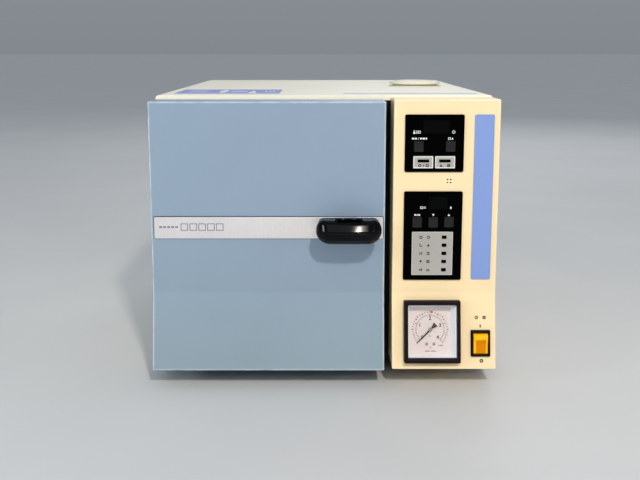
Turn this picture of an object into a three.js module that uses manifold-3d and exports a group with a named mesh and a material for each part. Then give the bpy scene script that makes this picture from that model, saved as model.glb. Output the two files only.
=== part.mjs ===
// Benchtop autoclave: a front-loading steam steriliser as an assembly of separate solids.
// Millimetres, +Z up, +Y towards the rear, -Y towards the person using it.
// Heights are measured from the table. Inside the assembly y = 0 is the cabinet's front plane;
// at the end the whole object is moved so that its origin is at the middle of its footprint.

import * as THREE from 'three';
import { mergeVertices } from 'three/addons/utils/BufferGeometryUtils.js';
import Module from 'manifold-3d';

const wasm = await Module();
wasm.setup();

// ---------------------------------------------------------------- driving dimensions

const FIT = 0.3; // gap between pieces that rest against each other
const HALF_WIDTH = 200;
const CABINET_DEPTH = 505;
const CABINET_TOP = 340;
const CABINET_BOTTOM = 15;
const SHEET = 1.5; // cabinet sheet steel
const FLOOR_SHEET = 2; // base plate and front frame
const INNER_HALF_WIDTH = HALF_WIDTH - SHEET - FIT;
const FLOOR_TOP = CABINET_BOTTOM + FLOOR_SHEET + FIT;

// The door and the control housing share one creased face.
const CREASE_Y = -42;
const CREASE_Z = 112;
const UPPER_SLOPE = 10 / 226; // the face leans out towards the top
const LOWER_SLOPE = 13 / 90; // and out again towards the bottom
const UPPER_TILT = Math.atan(UPPER_SLOPE);
const LOWER_TILT = -Math.atan(LOWER_SLOPE);

const DOOR = { left: -HALF_WIDTH, right: 70, bottom: 22, top: 335.5, rear: -4, wall: 1.2 };
const HOUSING = { left: 79, right: HALF_WIDTH, bottom: 23.5, top: 338, rear: -FIT, wall: 2.5 };

// Pressure chamber, lying along Y.
const CHAMBER_X = -65;
const CHAMBER_Z = 183;
const CHAMBER_RADIUS = 100;
const VESSEL_WALL = 3;
const VESSEL_LENGTH = 390; // cylindrical part
const DISH_DEPTH = 25;
const FLANGE_RADIUS = 118;
const FLANGE_FRONT = -2;
const FLANGE_REAR = 8;
const JACKET = { inner: 104, outer: 124, front: 10, rear: 385 };

// Door hinge and latch.
const HINGE = { x: -191, y: -18, pin: 4, bore: 4.4, knuckle: 7 };
const BEAM = { bottom: 163, top: 203, front: -40, rear: -24, right: 46 };
const LID = { rear: -6.3, rimFront: -13, domeFront: -20, domeRadius: 78 };
const HANDLE = { x: 27.4, z: 192.2, width: 73.6, height: 27.6, front: -95, rear: -62 };
const SHAFT_RADIUS = 6;
const SHAFT_END_RADIUS = 4;
const SHAFT_BORE = SHAFT_RADIUS + 1.5; // hole for the shaft in the door's face
const COLLAR = { radius: 9.5, front: HANDLE.rear + FIT, rear: -50 };
const ARM = { front: -20, rear: -14.5, width: 14, reach: 31 };
const KEEPER = { left: 50, post: 61, right: 66.5, front: -28, lipRear: -21.5, bottom: 176, top: 211 };
const TRIM = { left: -196.8, right: 68.5, bottom: 177, top: 203, thickness: 1.5 };

// Water filling.
const FILLER = { x: 134.7, y: 258, neckOuter: 30, neckInner: 27, capRadius: 37 };
const NECK_TOP = CABINET_TOP + 1.7;

// Control housing, measured on its face: x across, and height above the table.
const UPPER_PANEL = { left: 91.5, right: 158.8, bottom: 255, top: 321 };
const LOWER_PANEL = { left: 91.5, right: 158.8, bottom: 127.5, top: 232.4 };
const STRIPE = { left: 170.7, right: 193, bottom: 128, top: 321 };
const GAUGE = { left: 92.6, right: 158.3, bottom: 31.6, top: 103.4, dialX: 124.4, dialZ: 68 };
const GAUGE_WINDOW = { left: 97.5, right: 154.2, bottom: 37.1, top: 97.8 };
const SWITCH = { left: 170.7, right: 193.5, bottom: 38.3, top: 68.8 };
const ROCKER = { left: 174, right: 190.7, bottom: 41.6, top: 65.6 };
const SOUNDER = { x: 143, z: 244.2, holeRadius: 0.9, holeSpacing: 3.6 };
const PANEL_THICKNESS = 1.5;
const LABEL_THICKNESS = 0.8;
const KEY = { width: 11, height: 12.3, proud: 1.6, depth: 5 };
const KEYS = {
  key_program: { x: 107.2, z: 284.6 },
  key_start: { x: 143.4, z: 284.9 },
  key_mode: { x: 106.8, z: 196.3 },
  key_down: { x: 125.3, z: 196.3 },
  key_up: { x: 143.4, z: 196.6 },
};
const INDICATOR_HEIGHTS = [178.8, 169.3, 159.6, 149.9, 140];

// Rear end.
const REAR_INSIDE = CABINET_DEPTH - SHEET - FIT;
const INLET = { x: 150, z: 62 };
const DRAIN = { x: -20, z: 48, length: 25 };
const REAR_MOST = CABINET_DEPTH + DRAIN.length;

// ---------------------------------------------------------------- finishes

function finish(color, roughness, metalness = 0) {
  return new THREE.MeshStandardMaterial({ color, roughness, metalness });
}

const CREAM = finish(0xf2e3c4, 0.5);
const CABINET_CREAM = finish(0xe2ddcf, 0.5);
const FRAME_BLACK = finish(0x191716, 0.6);
const DOOR_BLUE = finish(0x8fa3b4, 0.45);
const STRIPE_BLUE = finish(0x8299dd, 0.4);
const BLACK = finish(0x0b0b0c, 0.35);
const DARK_GREY = finish(0x3a3c40, 0.5);
const LABEL_GREY = finish(0xaba8a0, 0.6);
const SATIN = finish(0xcfc7c5, 0.35, 0.8);
const STEEL = finish(0xb9bcc0, 0.35, 0.9);
const BRASS = finish(0xb08a45, 0.35, 0.9);
const COPPER = finish(0xb87350, 0.35, 0.9);
const RUBBER = finish(0x1d1d1f, 0.9);
const SILICONE = finish(0xd8d2c8, 0.7);
const WOOL = finish(0xc8c4b4, 0.95);
const WHITE_PLASTIC = finish(0xe6e3dc, 0.5);
const GREEN_BOARD = finish(0x2f6b45, 0.5);
const AMBER = finish(0xe39409, 0.3);
const GLASS = finish(0xdfe6e8, 0.05);
const DIAL_WHITE = finish(0xf0ece8, 0.6);

// ---------------------------------------------------------------- geometry helpers

// Turns a closed geometry into a solid that can be cut and joined.
function toSolid(geometry) {
  const bare = geometry.clone();
  bare.deleteAttribute('normal');
  bare.deleteAttribute('uv');
  const merged = mergeVertices(bare, 1e-4);
  const corners = Array.from(merged.index.array);
  const kept = [];
  for (let i = 0; i < corners.length; i += 3) {
    const [a, b, c] = corners.slice(i, i + 3);
    const isTriangle = a !== b && b !== c && c !== a;
    if (isTriangle) kept.push(a, b, c);
  }
  const vertProperties = Float32Array.from(merged.attributes.position.array);
  const triVerts = Uint32Array.from(kept);
  return new wasm.Manifold(new wasm.Mesh({ numProp: 3, vertProperties, triVerts }));
}

function toGeometry(solid) {
  const mesh = solid.getMesh();
  const geometry = new THREE.BufferGeometry();
  geometry.setAttribute('position', new THREE.BufferAttribute(mesh.vertProperties, 3));
  geometry.setIndex(new THREE.BufferAttribute(mesh.triVerts, 1));
  return geometry;
}

function cut(geometry, ...tools) {
  return toGeometry(tools.reduce((solid, tool) => solid.subtract(toSolid(tool)), toSolid(geometry)));
}

function join(geometry, ...others) {
  return toGeometry(others.reduce((solid, other) => solid.add(toSolid(other)), toSolid(geometry)));
}

// A box between two limits on each axis.
function block([x0, x1], [y0, y1], [z0, z1]) {
  const geometry = new THREE.BoxGeometry(x1 - x0, y1 - y0, z1 - z0);
  return geometry.translate((x0 + x1) / 2, (y0 + y1) / 2, (z0 + z1) / 2);
}

// A shape drawn in x and z, given thickness from yFront to yRear.
function frontPlate(shape, yFront, yRear, curveSegments = 8) {
  const options = { depth: yRear - yFront, bevelEnabled: false, curveSegments };
  const geometry = new THREE.ExtrudeGeometry(shape, options);
  return geometry.rotateX(Math.PI / 2).translate(0, yRear, 0);
}

// A shape drawn in x and y, given height from z0 to z1.
function standing(shape, z0, z1, curveSegments = 8) {
  const options = { depth: z1 - z0, bevelEnabled: false, curveSegments };
  return new THREE.ExtrudeGeometry(shape, options).translate(0, 0, z0);
}

// A shape drawn in y and z, given width from x0 to x1.
function crosswise(shape, x0, x1) {
  const geometry = new THREE.ExtrudeGeometry(shape, { depth: x1 - x0, bevelEnabled: false });
  const axes = new THREE.Matrix4().makeBasis(
    new THREE.Vector3(0, 1, 0),
    new THREE.Vector3(0, 0, 1),
    new THREE.Vector3(1, 0, 0),
  );
  return geometry.applyMatrix4(axes).translate(x0, 0, 0);
}

function outline(points) {
  return new THREE.Shape(points.map(([a, b]) => new THREE.Vector2(a, b)));
}

function rectangle(left, right, bottom, top) {
  return outline([[left, bottom], [right, bottom], [right, top], [left, top]]);
}

function roundedRectangle(left, right, bottom, top, radius) {
  const shape = new THREE.Shape();
  shape.moveTo(left + radius, bottom);
  shape.lineTo(right - radius, bottom);
  shape.absarc(right - radius, bottom + radius, radius, -Math.PI / 2, 0);
  shape.lineTo(right, top - radius);
  shape.absarc(right - radius, top - radius, radius, 0, Math.PI / 2);
  shape.lineTo(left + radius, top);
  shape.absarc(left + radius, top - radius, radius, Math.PI / 2, Math.PI);
  shape.lineTo(left, bottom + radius);
  shape.absarc(left + radius, bottom + radius, radius, Math.PI, Math.PI * 1.5);
  return shape;
}

function circle(x, y, radius) {
  return new THREE.Shape().absarc(x, y, radius, 0, Math.PI * 2);
}

// A profile of [radius, y] turned about the Y axis, drawn anticlockwise.
function turnedAlongY(profile, segments = 32) {
  return new THREE.LatheGeometry(profile.map(([r, y]) => new THREE.Vector2(r, y)), segments);
}

// A profile of [radius, z] turned about the Z axis, drawn anticlockwise.
function turnedAlongZ(profile, segments = 32) {
  return turnedAlongY(profile, segments).rotateX(Math.PI / 2);
}

function rod(radius, y0, y1, segments = 24) {
  return turnedAlongY([[0, y0], [radius, y0], [radius, y1], [0, y1]], segments);
}

function post(radius, z0, z1, segments = 24) {
  return turnedAlongZ([[0, z0], [radius, z0], [radius, z1], [0, z1]], segments);
}

// A round bar through the given corners, with each corner bent to the given radius.
function bentBar(corners, barRadius, bendRadius, stepLength = 12) {
  const points = corners.map((corner) => new THREE.Vector3(...corner));
  const path = new THREE.CurvePath();
  let from = points[0];
  for (let i = 1; i < points.length - 1; i += 1) {
    const before = points[i].clone().sub(points[i - 1]).normalize();
    const after = points[i + 1].clone().sub(points[i]).normalize();
    const entry = points[i].clone().addScaledVector(before, -bendRadius);
    const exit = points[i].clone().addScaledVector(after, bendRadius);
    path.add(new THREE.LineCurve3(from, entry));
    path.add(new THREE.QuadraticBezierCurve3(entry, points[i], exit));
    from = exit;
  }
  path.add(new THREE.LineCurve3(from, points[points.length - 1]));
  const steps = Math.ceil(path.getLength() / stepLength);
  const section = circle(0, 0, barRadius);
  return new THREE.ExtrudeGeometry(section, { steps, extrudePath: path, curveSegments: 4 });
}

// Distance of the creased face from the cabinet's front plane at a height.
function faceY(z) {
  if (z > CREASE_Z) return CREASE_Y - (z - CREASE_Z) * UPPER_SLOPE;
  return CREASE_Y - (CREASE_Z - z) * LOWER_SLOPE;
}

function creasedProfile(bottom, top, rear, inset) {
  const z0 = bottom + inset;
  const z1 = top - inset;
  return outline([
    [rear, z0],
    [faceY(z0) + inset, z0],
    [CREASE_Y + inset, CREASE_Z],
    [faceY(z1) + inset, z1],
    [rear, z1],
  ]);
}

// An open-backed shell with the creased face and a lip along its rear top and bottom edges.
function creasedShell({ left, right, bottom, top, rear, wall }) {
  const lipWidth = 12;
  const solid = crosswise(creasedProfile(bottom, top, rear, 0), left, right);
  const hollowProfile = creasedProfile(bottom, top, rear - wall, wall);
  const hollow = crosswise(hollowProfile, left + wall, right - wall);
  const mouth = block(
    [left + wall, right - wall],
    [rear - 2 * wall, rear + 1],
    [bottom + lipWidth, top - lipWidth],
  );
  return cut(solid, hollow, mouth);
}

// ---------------------------------------------------------------- assembly frames

const object = new THREE.Group();
const assembly = new THREE.Group();
object.add(assembly);

// On the face groups, local z runs up the face from the crease and local y runs into the cabinet.
const upperFace = new THREE.Group();
upperFace.position.set(0, CREASE_Y, CREASE_Z);
upperFace.rotation.x = UPPER_TILT;
assembly.add(upperFace);

const lowerFace = new THREE.Group();
lowerFace.position.set(0, CREASE_Y, CREASE_Z);
lowerFace.rotation.x = LOWER_TILT;
assembly.add(lowerFace);

function add(name, geometry, material, place = [0, 0, 0], parent = assembly) {
  const mesh = new THREE.Mesh(geometry, material);
  mesh.name = name;
  mesh.position.set(...place);
  parent.add(mesh);
  return mesh;
}

// Distance up a face from the crease, for a height above the table.
function upFace(z) {
  return (z - CREASE_Z) / Math.cos(z > CREASE_Z ? UPPER_TILT : LOWER_TILT);
}

function onFace({ left, right, bottom, top }) {
  return { left, right, bottom: upFace(bottom), top: upFace(top) };
}

function grown({ left, right, bottom, top }, by) {
  return { left: left - by, right: right + by, bottom: bottom - by, top: top + by };
}

function faceShape(area, radius = 0) {
  const { left, right, bottom, top } = onFace(area);
  if (radius === 0) return rectangle(left, right, bottom, top);
  return roundedRectangle(left, right, bottom, top, radius);
}

// The frame of a face group, so that a cutting tool drawn on the face can cut an upright piece.
function fromFace(geometry, faceGroup) {
  faceGroup.updateMatrix();
  return geometry.clone().applyMatrix4(faceGroup.matrix);
}

// ---------------------------------------------------------------- cabinet

function ventSlots(count, firstZ, pitch, makeSlot) {
  return Array.from({ length: count }, (_, i) => makeSlot(firstZ + i * pitch));
}

function cabinetCover() {
  const inner = HALF_WIDTH - SHEET;
  const bottom = FLOOR_TOP;
  const wrap = outline([
    [-HALF_WIDTH, bottom],
    [-inner, bottom],
    [-inner, CABINET_TOP - SHEET],
    [inner, CABINET_TOP - SHEET],
    [inner, bottom],
    [HALF_WIDTH, bottom],
    [HALF_WIDTH, CABINET_TOP],
    [-HALF_WIDTH, CABINET_TOP],
  ]);
  const fillerHole = post(FILLER.neckOuter + 2, CABINET_TOP - 5, CABINET_TOP + 5);
  fillerHole.translate(FILLER.x, FILLER.y, 0);
  const slotHeight = 3.5;
  const slots = ventSlots(7, 70, 11, (z) =>
    block([-HALF_WIDTH - 1, HALF_WIDTH + 1], [360, 450], [z, z + slotHeight]));
  return cut(frontPlate(wrap, 0, CABINET_DEPTH), fillerHole, ...slots);
}

function baseChassis() {
  const bottom = CABINET_BOTTOM;
  const plate = block(
    [-HALF_WIDTH, HALF_WIDTH],
    [0, CABINET_DEPTH],
    [bottom, bottom + FLOOR_SHEET],
  );
  const rails = [-1, 1].map((side) => {
    const outer = side * INNER_HALF_WIDTH;
    const inner = side * (INNER_HALF_WIDTH - SHEET);
    const across = [Math.min(outer, inner), Math.max(outer, inner)];
    return block(across, [20, CABINET_DEPTH - 20], [bottom + 1, bottom + 22]);
  });
  return join(plate, ...rails);
}

function frontFrame() {
  const shape = rectangle(-INNER_HALF_WIDTH, INNER_HALF_WIDTH, FLOOR_TOP, CABINET_TOP - SHEET - FIT);
  shape.holes.push(circle(CHAMBER_X, CHAMBER_Z, FLANGE_RADIUS + 1));
  shape.holes.push(rectangle(95, 185, 40, 320)); // way through to the control housing
  return frontPlate(shape, 0, FLOOR_SHEET, 24);
}

function rearPanel() {
  const shape = rectangle(-INNER_HALF_WIDTH, INNER_HALF_WIDTH, FLOOR_TOP, CABINET_TOP - SHEET - FIT);
  const through = [REAR_INSIDE - 1, CABINET_DEPTH + 1];
  const inletHole = block([INLET.x - 14.5, INLET.x + 14.5], through, [INLET.z - 10.5, INLET.z + 10.5]);
  const drainHole = rod(8, ...through).translate(DRAIN.x, 0, DRAIN.z);
  const slots = [-110, 110].flatMap((centre) =>
    ventSlots(8, 200, 13, (z) => block([centre - 45, centre + 45], through, [z, z + 4.5])));
  return cut(frontPlate(shape, REAR_INSIDE, CABINET_DEPTH - FIT), inletHole, drainHole, ...slots);
}

function foot() {
  const height = CABINET_BOTTOM - FIT;
  return turnedAlongZ([[0, 0], [13.5, 0], [15, 2], [13, height], [0, height]], 24);
}

function addCabinet() {
  add('cabinet_cover', cabinetCover(), CABINET_CREAM);
  add('base_chassis', baseChassis(), FRAME_BLACK);
  add('front_frame', frontFrame(), FRAME_BLACK);
  add('rear_panel', rearPanel(), CABINET_CREAM);
  const footX = HALF_WIDTH - 35;
  add('foot_front_left', foot(), RUBBER, [-footX, 40, 0]);
  add('foot_front_right', foot(), RUBBER, [footX, 40, 0]);
  add('foot_rear_left', foot(), RUBBER, [-footX, CABINET_DEPTH - 40, 0]);
  add('foot_rear_right', foot(), RUBBER, [footX, CABINET_DEPTH - 40, 0]);
}

// ---------------------------------------------------------------- pressure system

// Points of a shallow elliptical end, from the wall to the axis.
function dish(radius, depth, steps) {
  return Array.from({ length: steps + 1 }, (_, i) => {
    const angle = (i / steps) * Math.PI / 2;
    return [radius * Math.cos(angle), VESSEL_LENGTH + depth * Math.sin(angle)];
  });
}

function chamberVessel() {
  const outer = CHAMBER_RADIUS + VESSEL_WALL;
  const inside = dish(CHAMBER_RADIUS, DISH_DEPTH - VESSEL_WALL, 5).reverse();
  inside[0][0] = 0;
  const outside = dish(outer, DISH_DEPTH, 5);
  outside[outside.length - 1][0] = 0;
  return turnedAlongY([
    ...inside,
    [CHAMBER_RADIUS, FLANGE_FRONT],
    [FLANGE_RADIUS, FLANGE_FRONT],
    [FLANGE_RADIUS, FLANGE_REAR],
    [outer, FLANGE_REAR],
    ...outside,
  ], 36);
}

function insulationJacket() {
  const { inner, outer, front, rear } = JACKET;
  return turnedAlongY([[inner, front], [outer, front], [outer, rear], [inner, rear], [inner, front]], 32);
}

// An upright saddle with a hollow top that the jacket lies in.
function saddle() {
  const halfWidth = 85;
  const radius = JACKET.outer + FIT + 1;
  const angle = Math.asin(halfWidth / radius);
  const shape = new THREE.Shape();
  shape.moveTo(-halfWidth, FLOOR_TOP - CHAMBER_Z);
  shape.lineTo(halfWidth, FLOOR_TOP - CHAMBER_Z);
  shape.absarc(0, 0, radius, angle - Math.PI / 2, -angle - Math.PI / 2, true);
  return frontPlate(shape, -3, 3, 12);
}

// A hairpin bar that lies low in the chamber.
function heaterElement() {
  const halfWidth = 26;
  const rear = VESSEL_LENGTH - 12;
  return bentBar([
    [-halfWidth, rear, 0],
    [-halfWidth, 40, 0],
    [halfWidth, 40, 0],
    [halfWidth, rear, 0],
  ], 4, 20, 16);
}

const RACK = { halfWidth: 71.5, bottom: -60, top: 42, ledge: 9, sheet: 1.5, front: 15, rear: 365 };
const SHELVES = { tray_lower: -24, tray_upper: 18 }; // ledge heights from the chamber's axis

// A bent sheet rack: a floor, two sides and a pair of ledges for each tray.
function trayRack() {
  const { halfWidth, bottom, top, ledge, sheet, front, rear } = RACK;
  const side = [[halfWidth - sheet, bottom + sheet]];
  for (const shelf of [SHELVES.tray_lower, SHELVES.tray_upper]) {
    side.push([halfWidth - sheet, shelf - sheet]);
    side.push([halfWidth - ledge, shelf - sheet]);
    side.push([halfWidth - ledge, shelf]);
    side.push([halfWidth - sheet, shelf]);
  }
  side.push([halfWidth - sheet, top]);
  side.push([halfWidth, top]);
  side.push([halfWidth, bottom]);
  const mirrored = side.map(([x, z]) => [-x, z]).reverse();
  const body = frontPlate(outline([...side, ...mirrored]), front, rear);
  const windows = [0, 1, 2, 3].map((i) =>
    block([-halfWidth + 14, halfWidth - 14], [front + 30 + i * 80, front + 80 + i * 80],
      [bottom - 5, bottom + 5]));
  return cut(body, ...windows);
}

function tray() {
  const halfWidth = RACK.halfWidth - RACK.sheet - 1;
  const [front, rear, height, wall] = [20, 350, 16, 1];
  const pan = block([-halfWidth, halfWidth], [front, rear], [0, height]);
  const inside = block([wall - halfWidth, halfWidth - wall], [front + wall, rear - wall], [wall, height + 1]);
  return cut(pan, inside);
}

function safetyValve() {
  return turnedAlongY([
    [0, 0], [11, 0], [11, 12], [7, 12], [7, 20], [12, 20], [12, 46], [9, 50], [4, 50], [4, 58], [0, 58],
  ], 16);
}

// A block valve with a coil standing on it.
function solenoidValve() {
  const body = block([-14, 14], [-14, 14], [0, 20]);
  const coil = post(13, 19, 52, 16);
  return join(body, coil);
}

function waterReservoir() {
  const [left, right, front, rear, bottom, top, wall] = [78, 192, 200, 430, 205, 326, 3];
  const body = standing(roundedRectangle(left, right, front, rear, 10), bottom, top, 4);
  const neck = post(FILLER.neckOuter, top - 2, NECK_TOP).translate(FILLER.x, FILLER.y, 0);
  const insideShape = roundedRectangle(left + wall, right - wall, front + wall, rear - wall, 7);
  const inside = standing(insideShape, bottom + wall, top - wall, 4);
  const mouth = post(FILLER.neckInner, top - 10, NECK_TOP + 5).translate(FILLER.x, FILLER.y, 0);
  return cut(join(body, neck), inside, mouth);
}

// A crowned cap with a spigot that drops into the neck.
function fillerCap() {
  const under = NECK_TOP + FIT;
  const spigot = FILLER.neckInner - 1.2;
  const radius = FILLER.capRadius;
  return turnedAlongZ([
    [0, under - 1.5],
    [spigot - 3, under - 1.5],
    [spigot - 3, under - 9],
    [spigot, under - 9],
    [spigot, under],
    [radius - 0.6, under],
    [radius, under + 0.8],
    [radius, under + 3.2],
    [radius - 1, under + 4.4],
    [radius - 6, under + 5.6],
    [radius * 0.55, under + 6.8],
    [0, under + 7.4],
  ], 32);
}

function addPressureSystem() {
  const axis = [CHAMBER_X, 0, CHAMBER_Z];
  add('chamber_vessel', chamberVessel(), STEEL, axis);
  add('insulation_jacket', insulationJacket(), WOOL, axis);
  add('saddle_front', saddle(), STEEL, [CHAMBER_X, 70, CHAMBER_Z]);
  add('saddle_rear', saddle(), STEEL, [CHAMBER_X, 320, CHAMBER_Z]);
  add('heater_element', heaterElement(), STEEL, [CHAMBER_X, 0, CHAMBER_Z - 80]);
  add('tray_rack', trayRack(), STEEL, axis);
  for (const [name, shelf] of Object.entries(SHELVES)) {
    add(name, tray(), STEEL, [CHAMBER_X, 0, CHAMBER_Z + shelf + FIT]);
  }
  const dishRear = VESSEL_LENGTH + DISH_DEPTH + FIT;
  add('safety_valve', safetyValve(), BRASS, [CHAMBER_X, dishRear, CHAMBER_Z + 20]);
  add('fill_valve', solenoidValve(), BRASS, [100, 455, FLOOR_TOP + 60]);
  add('exhaust_valve', solenoidValve(), BRASS, [20, 472, FLOOR_TOP]);
  add('water_reservoir', waterReservoir(), WHITE_PLASTIC);
  add('filler_cap', fillerCap(), CABINET_CREAM, [FILLER.x, FILLER.y, 0]);
  addPipes(dishRear);
}

function addPipes(dishRear) {
  const coilTop = FLOOR_TOP + 60 + 52;
  const fillPipe = [[150, 420, 205 - FIT], [150, 420, 160], [100, 455, 160], [100, 455, coilTop + FIT]];
  add('fill_pipe', bentBar(fillPipe, 4, 14, 8), COPPER);
  const low = CHAMBER_Z - 45;
  const exhaustPipe = [
    [CHAMBER_X, dishRear, low],
    [CHAMBER_X, 472, low],
    [20, 472, low],
    [20, 472, FLOOR_TOP + 52 + FIT],
  ];
  add('exhaust_pipe', bentBar(exhaustPipe, 5, 18, 8), COPPER);
  const side = 72;
  const gaugePipe = [
    [CHAMBER_X + 12, dishRear, CHAMBER_Z - 15],
    [CHAMBER_X + 12, 440, CHAMBER_Z - 15],
    [side, 440, CHAMBER_Z - 15],
    [side, 20, CHAMBER_Z - 15],
    [GAUGE.dialX, 20, 72],
    [GAUGE.dialX, faceY(GAUGE.dialZ) + 36, 72],
  ];
  add('gauge_pipe', bentBar(gaugePipe, 2, 14, 14), COPPER);
}

// ---------------------------------------------------------------- electrics

function transformer() {
  const [width, depth, height] = [70, 26, 60];
  const [inset, overhang] = [14, 16]; // of the winding from the core's ends and past its faces
  const core = block([0, width], [0, depth], [0, height]);
  const winding = block([inset, width - inset], [-overhang, depth + overhang], [10, height - 10]);
  return join(core, winding);
}

function controlBoard() {
  const front = 8; // behind the face
  const rear = front + 1.6;
  const board = block([90, 190], [front, rear], [18, 205]);
  const sounder = rod(6, front - 5, rear - 0.6, 16).translate(SOUNDER.x, 0, upFace(SOUNDER.z));
  const relay = block([100, 130], [rear - 0.6, rear + 14.4], [50, 80]);
  const connector = block([150, 180], [rear - 0.6, rear + 7.4], [100, 112]);
  return join(board, sounder, relay, connector);
}

// A mains inlet: a flange outside the rear panel, a body inside it and three blades.
function powerInlet() {
  const flange = block([-25, 25], [CABINET_DEPTH, CABINET_DEPTH + 3], [-14, 14]);
  const body = block([-13.8, 13.8], [CABINET_DEPTH - 22, CABINET_DEPTH + 1], [-9.8, 9.8]);
  const pocket = block([-12, 12], [CABINET_DEPTH - 16, CABINET_DEPTH + 5], [-8, 8]);
  const blades = [[-7, -2], [0, 3], [7, -2]].map(([x, z]) =>
    block([x - 1, x + 1], [CABINET_DEPTH - 17, CABINET_DEPTH - 2], [z - 2, z + 2]));
  return join(cut(join(flange, body), pocket), ...blades);
}

// A barbed hose fitting through the rear panel.
function drainFitting() {
  const rear = CABINET_DEPTH;
  return turnedAlongY([
    [3.5, rear - 30], [7, rear - 30], [7, rear], [12, rear], [12, rear + 7], [5.5, rear + 7],
    [6.5, rear + 12], [5.2, rear + 17], [6.2, rear + 20], [4.8, REAR_MOST], [3.5, REAR_MOST],
    [3.5, rear - 30],
  ], 20);
}

function addElectrics() {
  add('transformer', transformer(), STEEL, [105, 100, FLOOR_TOP]);
  add('control_board', controlBoard(), GREEN_BOARD, [0, 0, 0], upperFace);
  add('power_inlet', powerInlet(), BLACK, [INLET.x, 0, INLET.z]);
  add('drain_fitting', drainFitting(), BRASS, [DRAIN.x, 0, DRAIN.z]);
}

// ---------------------------------------------------------------- door

function doorCover() {
  const shell = creasedShell(DOOR);
  const hingeNotch = block([DOOR.left - 1, DOOR.left + DOOR.wall + 1], [-31, 0], [132, 234]);
  const shaftHole = rod(SHAFT_BORE, -60, -30).translate(HANDLE.x, 0, HANDLE.z);
  return cut(shell, hingeNotch, shaftHole);
}

function trimStrip() {
  const strip = frontPlate(faceShape(TRIM, 2), -FIT - TRIM.thickness, -FIT, 3);
  const shaftHole = rod(SHAFT_BORE, -10, 10).translate(HANDLE.x, 0, upFace(HANDLE.z));
  return cut(strip, shaftHole);
}

// A flat bar with a round knuckle about the hinge pin at its left end.
function crossbeam() {
  const { x, y, knuckle, bore } = HINGE;
  const shape = new THREE.Shape();
  shape.moveTo(x - knuckle, BEAM.front);
  shape.lineTo(BEAM.right, BEAM.front);
  shape.lineTo(BEAM.right, BEAM.rear);
  shape.lineTo(x + knuckle, BEAM.rear);
  shape.lineTo(x + knuckle, y);
  shape.absarc(x, y, knuckle, 0, Math.PI);
  shape.holes.push(circle(x, y, bore));
  const bar = standing(shape, BEAM.bottom, BEAM.top, 12);
  const shaftHole = rod(SHAFT_RADIUS + FIT, -50, -10).translate(HANDLE.x, 0, HANDLE.z);
  const studHole = rod(7.3, -50, -10).translate(CHAMBER_X, 0, CHAMBER_Z);
  return cut(bar, shaftHole, studHole);
}

// The lid is domed outwards and dished inside, with a flat rim that carries the gasket.
function pressureLid() {
  const { rear, rimFront, domeFront, domeRadius } = LID;
  const rim = FLANGE_RADIUS - 0.5;
  return turnedAlongY([
    [0, domeFront],
    [30, domeFront],
    [60, domeFront + 2.5],
    [domeRadius, rimFront],
    [rim, rimFront],
    [rim, rear],
    [96, rear],
    [78, rear - 2.5],
    [0, domeFront + 4],
  ], 40);
}

function lidGasket() {
  const front = LID.rear + FIT;
  const rear = FLANGE_FRONT - FIT;
  return turnedAlongY([[102, front], [113, front], [112, rear], [103, rear], [102, front]], 40);
}

function lidStud() {
  const rear = LID.domeFront - FIT;
  const front = -43;
  const shoulder = BEAM.front - FIT;
  return turnedAlongY([[0, front], [5, front], [5, shoulder], [7, shoulder], [7, rear], [0, rear]], 20);
}

// A foot on the front frame and an ear that holds the pin. The ear lies between z0 and z1.
function hingeBracket(footBottom, footTop, earBottom, earTop) {
  const { x, y, knuckle, bore } = HINGE;
  const left = x - knuckle + 0.5;
  const right = x + knuckle - 0.5;
  const ear = new THREE.Shape();
  ear.moveTo(right, y);
  ear.lineTo(right, -FIT);
  ear.lineTo(left, -FIT);
  ear.lineTo(left, y);
  ear.absarc(x, y, right - x, Math.PI, Math.PI * 2);
  ear.holes.push(circle(x, y, bore));
  const footPlate = block([left, right], [-3.3, -FIT], [footBottom, footTop]);
  return join(standing(ear, earBottom, earTop, 12), footPlate);
}

const EAR_HEIGHT = 11;
const EAR_GAP = 0.6; // above and below the crossbeam

function hingePin() {
  const bottom = BEAM.bottom - EAR_GAP - EAR_HEIGHT - 2;
  const top = BEAM.top + EAR_GAP + EAR_HEIGHT + 2;
  return post(HINGE.pin, bottom, top, 20);
}

// A post on the front frame with a lip in front of the latch arm's end.
function latchKeeper() {
  const { left, post: postLeft, right, front, lipRear, bottom, top } = KEEPER;
  const shape = outline([
    [left, front], [right, front], [right, -FIT], [postLeft, -FIT], [postLeft, lipRear], [left, lipRear],
  ]);
  return standing(shape, bottom, top);
}

function handleGrip() {
  const { width, height, front, rear } = HANDLE;
  const bevel = 6;
  const radius = height / 2 - bevel;
  const half = width / 2 - height / 2;
  const stadium = new THREE.Shape();
  stadium.moveTo(-half, -radius);
  stadium.lineTo(half, -radius);
  stadium.absarc(half, 0, radius, -Math.PI / 2, Math.PI / 2);
  stadium.lineTo(-half, radius);
  stadium.absarc(-half, 0, radius, Math.PI / 2, Math.PI * 1.5);
  const geometry = new THREE.ExtrudeGeometry(stadium, {
    depth: rear - front - 2 * bevel,
    bevelThickness: bevel,
    bevelSize: bevel,
    bevelSegments: 3,
    curveSegments: 8,
  });
  const grip = geometry.rotateX(Math.PI / 2).translate(0, rear - bevel, 0);
  return cut(grip, rod(SHAFT_RADIUS + FIT, -78, -50));
}

// The shaft, with a collar that closes the hole in the trim strip.
function handleShaft() {
  const armFront = ARM.front - FIT;
  return turnedAlongY([
    [0, -77.5],
    [SHAFT_RADIUS, -77.5],
    [SHAFT_RADIUS, COLLAR.front],
    [COLLAR.radius, COLLAR.front],
    [COLLAR.radius, COLLAR.rear],
    [SHAFT_RADIUS, COLLAR.rear],
    [SHAFT_RADIUS, armFront],
    [SHAFT_END_RADIUS, armFront],
    [SHAFT_END_RADIUS, ARM.rear + 0.8],
    [0, ARM.rear + 0.8],
  ], 24);
}

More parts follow.
